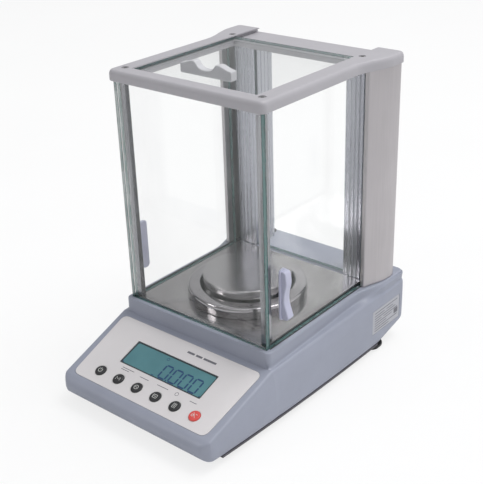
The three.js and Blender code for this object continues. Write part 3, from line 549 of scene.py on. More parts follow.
def board_green():
    """Circuit board: green lacquer over blocks of copper track."""
    n = Nodes("circuit_board")
    tracks = n.new("ShaderNodeTexBrick", {"Vector": n.coordinates(), "Scale": 60.0})
    n.feed(tracks.inputs["Color1"], (0.02, 0.14, 0.06, 1))
    n.feed(tracks.inputs["Color2"], (0.03, 0.18, 0.08, 1))
    n.feed(tracks.inputs["Mortar"], (0.10, 0.30, 0.12, 1))
    n.set(Base_Color=tracks.outputs[0], Roughness=n.spread(n.noise(90), 0.35, 0.5))
    n.bump(n.noise(1200), 0.15, 0.0001)
    return n.owner


def rubber_black():
    n = Nodes("rubber")
    fine = n.noise(1600, detail=3)
    n.set(Base_Color=n.blend(n.spread(fine, 0, 1), (0.012, 0.012, 0.013, 1), (0.03, 0.03, 0.032, 1)))
    n.set(Roughness=n.spread(n.noise(120), 0.7, 0.9))
    n.bump(fine, 0.4, 0.0001)
    return n.owner


FINISH = {
    "housing_paint": painted("housing_paint", (0.295, 0.313, 0.380), 0.40),
    "frame_paint": painted("frame_paint", (0.40, 0.388, 0.412), 0.42, variation=0.04),
    "panel_film": painted("panel_film", (0.665, 0.64, 0.645), 0.5, variation=0.03, grain=2400),
    "satin_aluminium": brushed(
        "satin_aluminium", (0.46, 0.437, 0.447), 0.34, stretch=(1, 1, 0.02), metallic=0.75,
        strength=0.06, variation=0.08, streak=900, dark=0.93,
    ),
    "brushed_steel": brushed(
        "brushed_steel", (0.46, 0.445, 0.445), 0.16, stretch=(0.5, 1, 1), metallic=0.92,
        strength=0.1, variation=0.1, streak=620, dark=0.58,
    ),
    "polished_steel": polished("polished_steel", (0.40, 0.385, 0.395), 0.07),
    "dark_steel": painted("dark_steel", (0.075, 0.07, 0.085), 0.45),
    "cast_aluminium": painted("cast_aluminium", (0.42, 0.43, 0.44), 0.5, grain=700),
    "zinc_steel": brushed("zinc_steel", (0.20, 0.195, 0.20), 0.32, metallic=0.9),
    "copper": brushed("copper", (0.62, 0.28, 0.14), 0.3, stretch=(1, 1, 6), metallic=0.95, streak=900),
    "clear_glass": clear_glass("Y"),
    "grip_plastic": painted("grip_plastic", (0.47, 0.475, 0.60), 0.34, variation=0.04, coat=0.15),
    "rubber": rubber_black(),
    "black_plastic": painted("black_plastic", (0.022, 0.022, 0.024), 0.42, grain=2200),
    "red_plastic": painted("red_plastic", (0.66, 0.075, 0.065), 0.4, grain=2200),
    "circuit_board": board_green(),
    "lcd_film": lcd_glass(),
    "label_film": painted("label_film", (0.41, 0.415, 0.45), 0.38, variation=0.03),
    "level_fluid": painted("level_fluid", (0.40, 0.55, 0.12), 0.12, coat=1.0),
}
EDGE_GLASS = glass_edge()
SIDE_GLASS = clear_glass("X")
TOP_GLASS = clear_glass("Z")
SPUN_STEEL = spun_steel()
INK = painted("panel_ink", (0.14, 0.14, 0.16), 0.5, grain=2600)
KEY_MARK = painted("key_mark", (0.62, 0.62, 0.60), 0.5, grain=2600)
SEGMENT_INK = painted("segment_ink", (0.012, 0.05, 0.14), 0.4, grain=2600)
DARK_TRIM = painted("dark_trim", (0.03, 0.045, 0.05), 0.35, grain=2600)
# Front pillars: brushed steel streaks darkened almost to black. Beyond the grain, these near-black vertical
# streaks are painted reflection bands of dark surroundings.
PILLAR_STEEL_PAINTED_REFLECTIONS = brushed(
    "pillar_steel", (0.38, 0.38, 0.40), 0.14, stretch=(1, 1, 0.012), metallic=1.0,
    strength=0.2, variation=0.2, streak=420, dark=0.12,
)
COLUMN_STEEL = brushed(
    "column_steel", (0.43, 0.435, 0.48), 0.24, stretch=(1, 1, 0.004), metallic=0.85,
    strength=0.012, variation=0.05, streak=160, dark=0.84,
)
TOP_GRIP = painted("top_grip_plastic", (0.52, 0.52, 0.54), 0.34, variation=0.04, coat=0.15)
SCREW_STEEL = brushed("screw_steel", (0.40, 0.395, 0.40), 0.35, metallic=0.85)
GOLD = brushed("pin_gold", (0.75, 0.55, 0.22), 0.25)


# ---------------- housing


def side_x(y):
    """Half the housing's width, less towards the nose."""
    forward = max(0.0, (TAPER_START_Y - y) / TAPER_LENGTH)
    return HALF_WIDTH - TAPER * forward**2


def rounded_side_x(y):
    behind = y - NOSE_Y
    if behind >= CORNER_RADIUS:
        return side_x(y)
    short = CORNER_RADIUS - behind
    return side_x(y) - CORNER_RADIUS + math.sqrt(max(0, CORNER_RADIUS**2 - short**2))


def flare(y):
    """0 to 1 as the foot under the columns spreads."""
    return smooth_step(FLARE_START_Y, FLARE_END_Y, y)


def plinth_x(y):
    return PLINTH_HALF + PLINTH_FLARE * flare(y)


def slope_z(y):
    return PANEL_TOP_Z - (PANEL_TOP_Y - y) * math.tan(PANEL_TILT)


def front_top_z(y):
    """Height of the panel, and of the round nose in front of it."""
    if y >= NOSE_START_Y:
        return slope_z(y)
    reach = NOSE_CENTRE_Y - y
    return NOSE_CENTRE_Z + math.sqrt(max(0, NOSE_RADIUS**2 - reach**2))


def rear_lift(y):
    return REAR_LIFT * max(0.0, (y - LIFT_START_Y) / (REAR_Y - LIFT_START_Y))


def lower_z(y):
    """Height of the lower edge: round at the nose, rising at the rear."""
    nose_base = NOSE_CENTRE_Z - BOTTOM_Z
    behind = y - NOSE_Y
    if behind < nose_base:
        return NOSE_CENTRE_Z - math.sqrt(max(0, nose_base**2 - (nose_base - behind) ** 2))
    return BOTTOM_Z + rear_lift(y)


def plinth_half(y, cut=0.0, deck_drop=0.0):
    """Right half of a section behind the panel, from the deck down to the base."""
    back = (y - PANEL_TOP_Y) / (REAR_Y - PANEL_TOP_Y)
    wall = plinth_x(y) - cut
    side = side_x(y)
    ledge = PANEL_TOP_Z + 9 * back + 6 * flare(y)
    ridge_x = max(SHOULDER_X + (side - 1 - SHOULDER_X) * back, plinth_x(y) + 1.2)
    ridge_z = PANEL_TOP_Z - 0.5 + 7 * back
    low = lower_z(y)
    deck = DECK_Z - deck_drop
    points = [
        (0, deck), (wall - 2.2, deck), (wall - 0.6, deck - 0.6), (wall, deck - 2.2),
        (wall + 0.3, ledge + 1.2), (wall + 1.2 + cut, ledge - 0.2), (ridge_x - 1.2, ridge_z + 0.4),
        (min(ridge_x + 0.6, side - 0.3), ridge_z - 1.4), (side - 0.9 * (1 - back), ridge_z - 12),
        (side, ridge_z - 24), (side - 0.2, low + 5), (side - 2.6, low), (0, low),
    ]
    joint = panel_points(PANEL_TOP_Y)
    away = smooth_step(0, 16, y - PANEL_TOP_Y)
    for i in range(6, 12):
        points[i] = tuple(lerp(a, b, away) for a, b in zip(joint[i], points[i]))
    return softened(points, [0, 0.9, 0.7, 0.9, 1.2, 1.0, 1.6, 1.6, 5, 6, 2.5, 1.6, 0])


def panel_down(y):
    """0 at the panel's top, 1 where the nose starts."""
    return (PANEL_TOP_Y - y) / (PANEL_TOP_Y - NOSE_START_Y)


def panel_points(y):
    """Right half of a section through the panel, with the plinth's count of points."""
    top = front_top_z(y)
    low = lower_z(y)
    tall = top - low
    side = rounded_side_x(y)
    shoulder = min(SHOULDER_X - 2.6 * panel_down(y), side - 0.6)
    return [
        (0, top),
        *[(shoulder - inset, top) for inset in (12, 10, 8, 6, 4)],
        (shoulder - 1.6, top - 0.3), (shoulder, top - min(1.6, tall * 0.15)),
        (lerp(shoulder, side, 0.7), top - min(12, tall * 0.42)), (side, top - min(24, tall * 0.6)),
        (side - 0.2, low + min(5, tall * 0.25)), (side - min(2.6, tall * 0.15), low), (0, low),
    ]


def panel_half(y):
    wide = 1.6 + 2.2 * max(0, panel_down(y)) ** 2
    return softened(panel_points(y), [0, 0.5, 0.5, 0.5, 0.5, 0.9, wide, wide, 5, 6, 2.5, 1.6, 0])


def mirror_ring(right):
    """A ring's right half, followed by its mirror image."""
    return right + [(-x, y, z) for x, y, z in reversed(right[1:-1])]


def whole_ring(half, y):
    return mirror_ring([(x, y, z) for x, z in half])


def drawn_in(half, cut):
    return [(x - cut if x > 0 else 0, z) for x, z in half]


def housing_skin():
    """Outside of the housing, from the nose to the rear wall."""
    rings = [whole_ring(panel_half(NOSE_Y + 0.08), NOSE_Y)]
    nose = [NOSE_CENTRE_Y - NOSE_RADIUS * math.cos(math.radians(a)) for a in range(9, 70, 5)]
    for y in [*nose, NOSE_START_Y, -147, -143, -136, -122, -106, -90, -76, PANEL_TOP_Y]:
        rings.append(whole_ring(panel_half(y), y))
    step_radius = 5.5
    for step in range(9):
        angle = math.radians(90 * step / 8)
        back = 0.1 + 5.4 * (1 - math.cos(angle))
        cut = step_radius * (1 - math.sin(angle))
        drop = max(0, 0.5 - back)
        rings.append(whole_ring(plinth_half(PANEL_TOP_Y + back, cut, drop), PANEL_TOP_Y + back))
    for y in [-45, -30, -10, 10, 30, 50, 66, 76, *range(80, 132, 4), 136, 144, 152]:
        rings.append(whole_ring(plinth_half(y), y))
    rear_radius = 4
    for step in range(7):
        angle = math.radians(15 * step)
        back = rear_radius * (1 - math.sin(angle))
        cut = rear_radius * (1 - math.cos(angle))
        rings.append(whole_ring(drawn_in(plinth_half(REAR_Y - back), cut), REAR_Y - back))
    return loft(rings)


def panel_hollow_half(y, low):
    side = side_x(y) - 3.4
    top = slope_z(y) - 3.5
    return [(0, top), (side - 9, top), (side - 4, top - 4), (side, top - 12), (side, low), (0, low)]


def plinth_hollow_half(y, low):
    side = side_x(y) - 3.2
    wall = min(plinth_x(y) - 3, side - 1)
    return [(0, 74.5), (wall, 74.5), (wall + 0.5, 60), (side, 48), (side, low), (0, low)]


def housing_hollow():
    """Space inside the housing; it opens downwards behind the front lip."""
    lip = -135.2
    start = NOSE_START_Y + 2
    below = 3
    rings = [
        whole_ring(drawn_in(panel_hollow_half(start, 14), 8), start),
        whole_ring(panel_hollow_half(lip - 0.2, 12), lip - 0.2),
    ]
    rings += [whole_ring(panel_hollow_half(y, below), y) for y in (lip, -110, PANEL_TOP_Y - 1)]
    for y in (PANEL_TOP_Y + 3, 0, 80, 130, REAR_Y - 3):
        rings.append(whole_ring(plinth_hollow_half(y, below), y))
    return loft(rings)


def key_x(index):
    return KEY_MIDDLE_X + (index - (KEY_COUNT - 1) / 2) * KEY_PITCH


def overlay_outline(margin=0.0):
    """Outline of the film, a little narrower at its lower edge."""
    top = -6.5 + margin
    bottom = -91 - margin
    wide = 93.2 + margin
    narrow = 88.6 + margin
    points = [(-narrow, bottom), (narrow, bottom), (wide, top), (-wide, top)]
    return softened(points, 8, steps=10, closed=True)


def on_panel(mesh):
    return moved(mesh, TO_PANEL)


def lcd_outline(inset, corner, steps):
    low = inset - LCD["bottom"]
    high = -LCD["top"] - inset
    return rounded_rect(LCD["left"] + inset, LCD["right"] - inset, low, high, corner, steps)


def panel_holes(radius):
    """The display's window and the six key holes."""
    return [lcd_outline(0, 1.0, 3)] + [circle(key_x(i), -KEY_ROW, radius) for i in range(KEY_COUNT)]


def socket_pocket(x, half_width, half_height):
    low = SOCKET_Z - half_height
    return block(x - half_width, x + half_width, REAR_Y - 6, REAR_Y + 2, low, low + 2 * half_height)


def build_housing():
    pocket = on_panel(prism(overlay_outline(0.3), -0.8, 6))
    holes = [on_panel(prism(hole, -8, 2)) for hole in panel_holes(KEY_RADIUS + 0.4)]
    floor_recess = block(-84.4, 84.4, -53.5, 114.2, DECK_Z - 1, DECK_Z + 5)
    level = prism(circle(*LEVEL_PLACE, 6.4, 32), DECK_Z - 12, DECK_Z + 2)
    serial = socket_pocket(SERIAL_X, 15.8, 6.6)
    power = socket_pocket(POWER_X, 7.3, 6.3)
    gap = 0.3
    label = block(
        HALF_WIDTH - 0.7, HALF_WIDTH + 3, LABEL["front"] - gap, LABEL["rear"] + gap,
        LABEL["low"] - gap, LABEL["high"] + gap,
    )
    pan_hole = prism(circle(0, PAN_Y, 14), DECK_Z - 12, DECK_Z + 2)
    grooves = side_blocks(84.1, 91.9, -53.52, 168, DECK_Z - 3, DECK_Z + 5)
    slot = block(*FRONT_SLOT, DECK_Z - 2, DECK_Z + 5)
    shell = carve(
        housing_skin(),
        [housing_hollow()],
        [pocket, floor_recess, level, serial, power, label],
        [*holes, pan_hole, *grooves],
        [slot],
    )
    posts = []
    for _name, x, y in BASE_SCREWS:
        foot = rear_lift(y + 5) + 9
        tube = [(1.9, foot), (5, foot), (5, 76), (1.9, 76), (1.9, foot)]
        posts.append(turned(tube, x, y, 24))
    mesh = joined([shell, *posts])
    add("housing_shell", mesh, "stand", "housing_paint", ["upper_housing"], sharp=28, weighted=True)


# ---------------- control panel


def stroke(points, width, height, base, closed=False):
    """Flat line of one width along a path."""
    count = len(points)
    left = []
    right = []
    for i, point in enumerate(points):
        before = Vector(points[i - 1]) if closed or i > 0 else Vector(point)
        after = Vector(points[(i + 1) % count]) if closed or i < count - 1 else Vector(point)
        along = (after - before).normalized()
        normal = Vector((-along.y, along.x)) * width / 2
        left.append(Vector(point) + normal)
        right.append(Vector(point) - normal)
    verts = []
    for z in (base, base + height):
        verts += [(p.x, p.y, z) for p in left + right]
    top = 2 * count
    faces = []
    for i in range(count if closed else count - 1):
        j = (i + 1) % count
        faces.append((i, j, j + count, i + count))
        faces.append((i + top + count, j + top + count, j + top, i + top))
        faces.append((i, j, j + top, i + top))
        faces.append((i + count, i + top + count, j + top + count, j + count))
    if not closed:
        end = count - 1
        faces.append((0, top, top + count, count))
        faces.append((end, end + count, end + top + count, end + top))
    return mesh_from(verts, faces)


def build_overlay():
    mesh = plate([overlay_outline(), *panel_holes(KEY_RADIUS + 0.3)], -0.5, FILM_TOP)
    add("panel_overlay", mesh, "stand", "panel_film", ["control_overlay"], edge=0.1, place=TO_PANEL)
    rims = [stroke(circle(key_x(i), -KEY_ROW, 7.1), 0.35, 0.05, FILM_TOP, True) for i in range(KEY_COUNT)]
    add("key_rims", joined(rims), "stand", "panel_film", finish=KEY_MARK, place=TO_PANEL)
    ink = 0.04
    marks = [stroke([(start, -17), (end, -17)], 2.4, ink, FILM_TOP) for start, end in TITLE_BARS]
    marks += [stroke([(start, -down), (end, -down)], 0.675, ink, FILM_TOP) for start, end, down in DATA_BARS]
    marks.append(stroke(circle(31.6, -64, 1.9, 24), 0.5, ink, FILM_TOP, True))
    add("panel_marks", joined(marks), "stand", "panel_film", finish=INK, place=TO_PANEL)


def segment(outline):
    return prism(outline, LCD_FACE, LCD_FACE + LCD_INK)


def zero_digit(x, top, bottom, width, thick):
    """Six lit segments of a seven-segment nought."""
    gap = 0.25
    middle = (top + bottom) / 2
    right = x + width
    rows = [
        [(x + gap, top), (right - gap, top)], [(right, top - gap), (right, middle + gap)],
        [(right, middle - gap), (right, bottom + gap)], [(right - gap, bottom), (x + gap, bottom)],
        [(x, bottom + gap), (x, middle - gap)], [(x, middle + gap), (x, top - gap)],
    ]
    shapes = []
    for start, end in rows:
        a = Vector(start)
        b = Vector(end)
        along = (b - a).normalized() * thick / 2
        across = Vector((-along.y, along.x))
        outline = [a, a + along - across, b - along - across, b]
        outline += [b - along + across, a + along + across]
        shapes.append(segment([tuple(p) for p in outline]))
    return shapes


def build_display():
    parts = []
    for index in range(4):
        parts += zero_digit(13.1 * index - 2, -39.6, -55.6, 8.8, 1.9)
    parts.append(segment(rounded_rect(8.3, 9.9, -56.6, -55.0, 0.3, 2)))
    parts.append(stroke(circle(-6.4, -33.2, 1.5, 20), 0.5, LCD_INK, LCD_FACE, True))
    parts.append(stroke([(-10.5, -56), (-7, -56)], 0.8, LCD_INK, LCD_FACE))
    add("display_digits", joined(parts), "stand", "lcd_film", finish=SEGMENT_INK, place=TO_PANEL)
    border = plate([lcd_outline(0.35, 0.8, 3), lcd_outline(1.7, 1.6, 4)], LCD_FACE, -0.5)
    add("display_border", border, "stand", "lcd_film", finish=DARK_TRIM, edge=0.05, place=TO_PANEL)
    corners = [segment(rounded_rect(x - 1, x + 1, -56.9, -55.3, 0.4, 2)) for x in (-49.3, 53.3)]
    add("display_marks", joined(corners), "stand", "lcd_film", finish=SEGMENT_INK, place=TO_PANEL)


def key_line(points, width=0.5, closed=False):
    return stroke(points, width, 0.06, KEY_TOP + 0.02, closed)


def key_icon(index):
    """Generic line symbol for a key, by its place in the row."""
    if index == 0:
        arc = circle(0, 0, 2.3, 24, 120, 300)
        return [key_line(arc, 0.55), key_line([(0, 0.4), (0, 3.0)], 0.55)]
    if index == 1:
        return [key_line([(-2.4, -1.8), (-2.4, 1.8), (0, -0.6), (2.4, 1.8), (2.4, -1.8)], 0.55)]
    if index == 2:
        return [key_line(circle(0, 0, 2.3, 32), closed=True), key_line([(-1.3, 0), (1.3, 0)])]
    if index == 3:
        window = rounded_rect(-2.4, 2.4, -1.9, 1.9, 0.5, 3)
        return [key_line(window, closed=True), key_line([(-1.2, 0), (1.2, 0)])]
    if index == 4:
        sheet = [(-1.8, -2.4), (1.8, -2.4), (1.8, 2.4), (-1.8, 2.4)]
        lines = [key_line([(-0.9, h), (0.9, h)], 0.45) for h in (-1.1, 0.1, 1.3)]
        return [key_line(sheet, closed=True), *lines]
    slash = key_line([(-2.2, 2.6), (2.2, -2.6)])
    return [slash, key_line(circle(-1.9, -0.6, 1.2, 24), closed=True), key_line([(0.9, 1.6), (3.0, 1.6)])]


def build_keys():
    corners = [
        (0, -6.2), (7.4, -6.2), (7.4, -5), (KEY_RADIUS, -5), (KEY_RADIUS, KEY_TOP - 0.45),
        (4.6, KEY_TOP), (0, KEY_TOP),
    ]
    profile = softened(corners, [0, 0.3, 0.3, 0.2, 1.1, 1.6, 0], steps=6)
    for index, name in enumerate(["power", "mode", "unit", "calibrate", "print", "tare"]):
        body = f"{name}_button"
        slot = "red_plastic" if name == "tare" else "black_plastic"
        place = TO_PANEL @ Matrix.Translation((key_x(index), -KEY_ROW, 0))
        add(f"{name}_cap", turned(profile), body, slot, [f"key_{name}"], place=place)
        icon = joined(key_icon(index))
        add(f"{name}_icon", icon, body, slot, finish=KEY_MARK, place=place)


# ---------------- weighing chamber


def build_ring_and_pan():
    z = DECK_Z
    corners = [
        (RING_RADIUS - 1.5, z + 0.6), (RING_RADIUS, z + 0.6), (RING_RADIUS, z + 12.2),
        (RING_RADIUS - 5.6, z + 12.6), (50.9, z + 13.2), (49.4, z + 12.6), (49.4, z + 9),
        (50.8, z + 9), (50.8, z + 11.6), (RING_RADIUS - 3, z + 9.8), (RING_RADIUS - 1.5, z + 8.6),
    ]
    cuts = [0.2, 0.4, 5.2, 2.8, 0.9, 0.8, 0.2, 0.2, 0.3, 0.5, 0.3]
    profile = softened(corners, cuts, steps=7, closed=True)
    ring = turned(profile + [profile[0]], 0, PAN_Y, ROUND_SEGMENTS)
    add("ring_shell", ring, "ring", "polished_steel", ["draft_ring"], sharp=50)
    top = z + 23.5
    skirt = z + 14.2
    corners = [
        (0, top - 1.6), (PAN_RADIUS - 1.6, top - 1.6), (PAN_RADIUS - 1.3, skirt), (PAN_RADIUS, skirt),
        (PAN_RADIUS, top), (30, top), (0, top),
    ]
    profile = softened(corners, [0, 0.6, 0.3, 0.3, 1.3, 0, 0], steps=6)
    pan = turned(profile, 0, PAN_Y, ROUND_SEGMENTS)
    add("pan_dish", pan, "pan", "brushed_steel", ["weighing_pan"], finish=SPUN_STEEL, sharp=50)


# ---------------- draft shield


def column_section():
    """Extruded column: ribs on two faces and a slot for the rear glass."""
    front = 114.5
    points = [(62.8, front)]
    for x in (66, 71, 76, 81):
        points += [(x, front), (x + 0.4, front + 0.6), (x + 1.2, front + 0.6), (x + 1.6, front)]
    points += [(85.2, front), (85.2, COLUMN_REAR_Y), (60, COLUMN_REAR_Y)]
    for y in (142, 136, 130):
        points += [(60, y), (60.6, y - 0.4), (60.6, y - 1.2), (60, y - 1.6)]
    points += [(60, 122.8), (62.8, 122.8), (62.8, 118.2), (60, 118.2), (60, front)]
    return points


def cover_face_x(y):
    """Outer face of a cover, which bows out towards the rear."""
    return 95.6 + 9.2 * (smooth_step(*COVER_BOW, y) - smooth_step(*COVER_BOW, COVER_CORNER_Y))


def cover_section():
    front = 101.5
    points = [(COVER_INNER_X, COLUMN_REAR_Y), (COVER_INNER_X, front)]
    points += [(93.6, front), (94.6, front + 0.2), (95.2, front + 0.6)]
    points += [(cover_face_x(y), y) for y in [COVER_CORNER_Y, *range(104, 134, 2)]]
    widest = cover_face_x(132)
    points += [(widest + 0.3, 137), (widest + 0.4, 140), (widest + 0.3, 143), (widest, 145)]
    points += [(widest - 0.6, 146.6), (widest - 1.6, 147.6), (widest - 3.2, COLUMN_REAR_Y)]
    return points


def side_handle():
    """Flat pad and waved grip of the right door."""
    face = 90.3
    pad = prism(rounded_rect(-38.5, -28.2, 104, 158, 4), face, face + 2.2, "x")
    control = [
        (face + 1, 105.5), (face + 8, 105.5), (face + 10.5, 108), (face + 9, 113), (face + 5.2, 124),
        (face + 6, 134), (face + 8.6, 143), (face + 8.2, 149), (face + 7, 156.2), (face + 1, 156.5),
    ]
    rib = softened(control, [0, 1.5, 1.5, 6, 7, 7, 4, 3, 3, 0], steps=6)
    return pad, prism(rib, -37, -28, "y")


def top_handle():
    """Two-horned grip that stands on the top door."""
    low = 323.7
    horn = low + 13.2
    right = [(31, low), (31, low + 9.5), (27, low + 9.9), (17.4, horn), (13, horn), (7, low + 6.2)]
    control = right + [(-x, z) for x, z in reversed(right)]
    cuts = [0, 2.2, 2.5, 2, 1.6, 5.5]
    return prism(softened(control, cuts + cuts[::-1], steps=8), -26.5, -18, "y")


def rail_x(y):
    """Outer side of the top frame, which widens into the rear caps."""
    return RAIL_OUTER_X + (CAP_OUTER_X - RAIL_OUTER_X) * flare(y)


def frame_ring(inset, z):
    """Outline of the top frame at one height, drawn in by an inset."""
    front = SHIELD_FRONT_Y - 4 + inset
    radius = 7 - inset
    rear_radius = 6 - inset
    points = [(0, front), (80, front)]
    points += circle(RAIL_OUTER_X - 7, front + radius, radius, 9, -90, 90)
    points += [(rail_x(y) - inset, y) for y in [*range(-40, 80, 30), *range(80, 132, 4)]]
    points += circle(CAP_OUTER_X - 6, CAP_REAR_Y - 6, rear_radius, 9, 0, 90)
    points.append((0, CAP_REAR_Y - inset))
    return mirror_ring([(x, y, z) for x, y in points])


def build_top_frame():
    rings = [frame_ring(inset, FRAME_Z + rise) for rise, inset in FRAME_LEVELS]
    inner = RAIL_INNER_X
    opening = prism(rounded_rect(-inner, inner, -45.7, 104.5, 0.8, 3), 300, 340)
    lowered = block(-inner, inner, 103.5, 156, REAR_BAR_Z, 340.2)
    slot = block(-79.3, 79.3, -48.1, 156.5, REAR_BAR_Z + 0.02, 323.8)
    front_slot = block(*FRONT_SLOT, 305, 316.5)
    doors = side_blocks(85.6, 90.4, -54.5, 157, 305.2, 316.52)
    holes = []
    for _name, x, y in FRAME_SCREWS:
        profile = [(0, 316), (1.9, 316), (1.9, 322.4), (3.6, 324), (3.6, 330), (0, 330)]
        holes.append(turned(profile, x, y, 32))
    mesh = carve(loft(rings), [opening], [lowered], [slot], [front_slot], doors, holes)
    add("top_frame_shell", mesh, "stand", "frame_paint", ["top_frame"], sharp=30, weighted=True)


def screw(head_radius, shank_radius, low, high):
    """Countersunk screw with a cross in its head."""
    corners = [
        (0, low), (shank_radius, low), (shank_radius, high - 1.9), (head_radius, high - 0.4),
        (head_radius, high), (0, high),
    ]
    body = turned(softened(corners, [0, 0.2, 0.1, 0.1, 0.15, 0], steps=3), segments=32)
    reach = head_radius * 0.58
    half = 0.45
    wide = block(-reach, reach, -half, half, high - 1.2, high + 1)
    deep = block(-half, half, -reach, reach, high - 1.21, high + 1.01)
    return carve(body, [wide], [deep])


def build_screws():
    head = screw(3.2, 1.5, *SCREW_Z)
    for name, x, y in FRAME_SCREWS:
        node = f"frame_screw_{name}"
        place = Matrix.Translation((x, y, 0))
        add(f"{node}_head", head, "stand", "zinc_steel", [node], finish=SCREW_STEEL, place=place)
    for name, x, y in BASE_SCREWS:
        node = f"base_screw_{name}"
        low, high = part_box(node)
        upside = screw(3.8, 1.6, -high.z * 1000, -low.z * 1000)
        place = Matrix.Translation((x, y, 0)) @ Matrix.Rotation(math.pi, 4, "X")
        add(f"{node}_head", upside, "stand", "zinc_steel", [node], place=place)


def build_shield():
    for word in ("left", "right"):
        bore = prism(rounded_rect(65.4, 79, 127.6, 145.6, 1), 75, 320)
        column = on_side(word, carve(prism(column_section(), *COLUMN_Z), [bore]))
        add(
            f"{word}_column_ribs", column, "stand", "satin_aluminium", [f"{word}_column"],
            finish=COLUMN_STEEL, edge=0.25,
        )
        cover = on_side(word, prism(cover_section(), *COLUMN_Z))
        replaced = [f"{word}_column_cover"]
        add(f"{word}_cover_shell", cover, "stand", "satin_aluminium", replaced, sharp=40)
        pad, rib = side_handle()
        node = f"{word}_door_handle"
        for part, mesh, width, steps in (("rib", rib, 1.2, 4), ("pad", pad, 0.7, 3)):
            mesh = on_side(word, mesh)
            grip = add(f"{word}_grip_{part}", mesh, f"{word}_door", "grip_plastic", [node], sharp=50)
            bevel(grip, width, steps, 50)
    handle = add(
        "top_grip", top_handle(), "top_door", "grip_plastic", ["top_door_handle"], finish=TOP_GRIP, sharp=50
    )
    bevel(handle, 1.1, 4, 50)


# ---------------- feet, sockets, level


def knurl(angle, radius):
    """Thirty-six shallow flutes round the wheel's rim."""
    return -0.35 * (0.5 + 0.5 * math.cos(36 * angle)) if radius > 12.9 else 0


def build_feet():
    for word, side in (("left", -1), ("right", 1)):
        corners = [
            (0, 2.8), (12.4, 2.8), (13, 3.3), (13, 5.1), (12.4, 5.6), (4, 5.6), (4, 24), (3, 25), (0, 25),
        ]
        rear = (side * REAR_FOOT[0], REAR_FOOT[1])
        front = (side * FRONT_FOOT[0], FRONT_FOOT[1])
        wheel = turned(corners, *rear, 216, knurl)
        add(f"{word}_wheel_knurled", wheel, f"{word}_wheel", "black_plastic", [f"levelling_wheel_{word}"])
        pad = softened([(0, 0), (10.4, 0), (11, 2.5), (0, 2.5)], [0, 0.8, 0.5, 0])
        add(f"{word}_pad_rubber", turned(pad, *rear), "stand", "rubber", [f"levelling_pad_{word}"])
        foot = softened([(0, 0), (10.8, 0), (12, 5.7), (0, 5.7)], [0, 1.0, 0.4, 0])
        add(f"{word}_front_rubber", turned(foot, *front), "stand", "rubber", [f"front_foot_{word}"])


def facing_rear(mesh, x, y, z):
    """Points an upright lathe shape backwards at a place."""
    return moved(mesh, Matrix.Translation((x, y, z)) @ Matrix.Rotation(-math.pi / 2, 4, "X"))


def build_sockets():
    pins = []
    pitch = 2.76
    for z, count in ((SOCKET_Z + 1.4, 5), (SOCKET_Z - 1.4, 4)):
        for i in range(count):
            x = SERIAL_X + (i - (count - 1) / 2) * pitch
            pin = turned([(0, 0), (0.5, 0), (0.5, 4.6), (0.2, 5), (0, 5)], segments=12)
            pins.append(facing_rear(pin, x, REAR_Y - 6.1, z))
    add("serial_pins", joined(pins), "stand", "zinc_steel", finish=GOLD)
    nuts = []
    for x in (SERIAL_X - 12.4, SERIAL_X + 12.4):
        nut = turned([(1.2, -0.3), (2.3, -0.3), (2.3, 0.15), (1.2, 0.15), (1.2, -0.3)], segments=6)
        nuts.append(facing_rear(nut, x, REAR_Y - 0.3, SOCKET_Z))
    add("serial_standoffs", joined(nuts), "stand", "zinc_steel")
    low = 81.45
    high = 81.6
    target = turned([(1.2, low), (1.9, low), (1.9, high), (1.2, high), (1.2, low)], *LEVEL_PLACE, 32)
    add("level_mark", target, "stand", "level_fluid", finish=SEGMENT_INK)


def build_label():
    """Printed bars and one block on the rating label, instead of lettering."""
    low = HALF_WIDTH - 0.28
    high = low + 0.12
    half = 0.45
    bars = [block(low, high, start, end, z - half, z + half) for z, start, end in LABEL_LINES]
    bars.append(prism(rounded_rect(143, 151, 34, 40, 0.8), low, high, "x"))
    add("label_marks", joined(bars), "stand", "label_film", finish=INK)


# ---------------- carried-over nodes


def finish_carried_nodes():
    """Gives the CAD's own nodes their finish, and soft edges where they show."""
    slots = {row["node"]: row["material_slot"] for row in frame["record"]["subparts"]}
    for name, obj in NODES.items():
        materials = obj.data.materials
        materials.clear()
        materials.append(FINISH[slots[name]])
        edge = GLASS_EDGE if name.endswith(("_glass", "_pillar")) else SOFT_EDGES.get(name)
        if not edge:
            continue
        weld = obj.modifiers.new("weld", "WELD")
        weld.merge_threshold = WELD_GAP
        bevel(obj, edge)
        if name.endswith("_pillar"):
            # The pillars' near-black vertical streaks are painted reflection bands as well as brushing
            # grain.
            materials[0] = PILLAR_STEEL_PAINTED_REFLECTIONS
        if name.endswith("_door_glass"):
            materials[0] = TOP_GLASS if name.startswith("top") else SIDE_GLASS
        if name.endswith("_glass"):
            materials.append(EDGE_GLASS)
            obj.modifiers["edge"].material = 1


# ---------------- studio


def build_floor():
    mesh = bpy.data.meshes.new("floor")
    corners = [(x * FLOOR_HALF, y * FLOOR_HALF, 0) for x, y in ((-1, -1), (1, -1), (1, 1), (-1, 1))]
    mesh.from_pydata(corners, [], [(0, 1, 2, 3)])
    floor = bpy.data.objects.new("floor", mesh)
    floor.location.z = -0.0002
    scene.collection.objects.link(floor)
    n = Nodes("studio_floor")
    n.set(Base_Color=n.blend(n.spread(n.noise(3), 0, 1), (0.80, 0.80, 0.80, 1), (0.84, 0.84, 0.84, 1)))
    n.set(Roughness=0.7)
    glow = n.new("ShaderNodeEmission", {"Color": (1, 1, 1, 1), "Strength": 1.0})
    mix = n.new("ShaderNodeMixShader")
    seen = n.new("ShaderNodeLightPath").outputs["Is Camera Ray"]
    n.feed(mix.inputs[0], n.maths("MULTIPLY", seen, 0.78))
    n.feed(mix.inputs[1], n.shader.outputs[0])
    n.feed(mix.inputs[2], glow.outputs[0])
    n.feed(n.tree.nodes["Material Output"].inputs[0], mix.outputs[0])
    mesh.materials.append(n.owner)


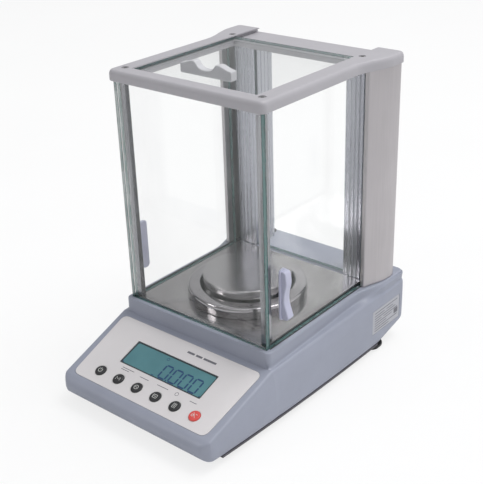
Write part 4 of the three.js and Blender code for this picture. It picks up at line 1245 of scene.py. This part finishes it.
def build_world():
    """Soft sky, bright behind on the right and white to the camera."""
    n = Nodes("studio", "worlds", "Background")
    scene.world = n.owner
    place = n.new("ShaderNodeTexCoord").outputs["Generated"]
    towards_light = {0: place, 1: (0.5, 0.35, 0.6)}
    dot = n.new("ShaderNodeVectorMath", towards_light, operation="DOT_PRODUCT").outputs["Value"]
    limits = {"From Min": -0.6, "From Max": 0.9, "To Min": 0.05, "To Max": 1.0}
    sky = n.new("ShaderNodeMapRange", {"Value": dot, **limits}).outputs[0]
    seen = n.new("ShaderNodeLightPath").outputs["Is Camera Ray"]
    n.set(Color=(0.97, 0.98, 1.0, 1), Strength=n.maths("MAXIMUM", sky, seen))


def area_light(name, place, target, width, height, power):
    data = bpy.data.lights.new(name, "AREA")
    data.shape = "RECTANGLE"
    data.size = width
    data.size_y = height
    data.energy = power
    lamp = bpy.data.objects.new(name, data)
    lamp.location = place
    aim = Vector(target) - Vector(place)
    lamp.rotation_euler = aim.to_track_quat("-Z", "Y").to_euler()
    scene.collection.objects.link(lamp)


def build_camera():
    flat = math.cos(CAMERA_PITCH)
    right = Vector((math.cos(CAMERA_YAW), math.sin(CAMERA_YAW), 0))
    ahead = Vector((-math.sin(CAMERA_YAW) * flat, math.cos(CAMERA_YAW) * flat, -math.sin(CAMERA_PITCH)))
    up = right.cross(ahead)
    across = math.cos(CAMERA_ROLL) * right + math.sin(CAMERA_ROLL) * up
    above = -math.sin(CAMERA_ROLL) * right + math.cos(CAMERA_ROLL) * up
    data = bpy.data.cameras.new("camera")
    data.lens = CAMERA_LENS
    data.sensor_width = 36
    data.clip_start = 0.01
    camera = bpy.data.objects.new("camera", data)
    matrix = Matrix((across, above, -ahead)).transposed().to_4x4()
    matrix.translation = Vector(CAMERA_PLACE)
    camera.matrix_world = matrix
    scene.collection.objects.link(camera)
    scene.camera = camera


scene.view_settings.view_transform = "Standard"
scene.cycles.transparent_max_bounces = 24
build_camera()
build_world()
build_floor()
area_light("overhead", (0.7, 0.9, 3.0), (0, 0, 0.15), width=1.8, height=1.4, power=56)
area_light("front_left", (-1.6, -2.4, 1.5), (0, 0, 0.2), width=0.8, height=0.8, power=13)
finish_carried_nodes()
build_housing()
build_overlay()
build_display()
build_keys()
build_ring_and_pan()
build_top_frame()
build_screws()
build_shield()
build_feet()
build_sockets()
build_label()

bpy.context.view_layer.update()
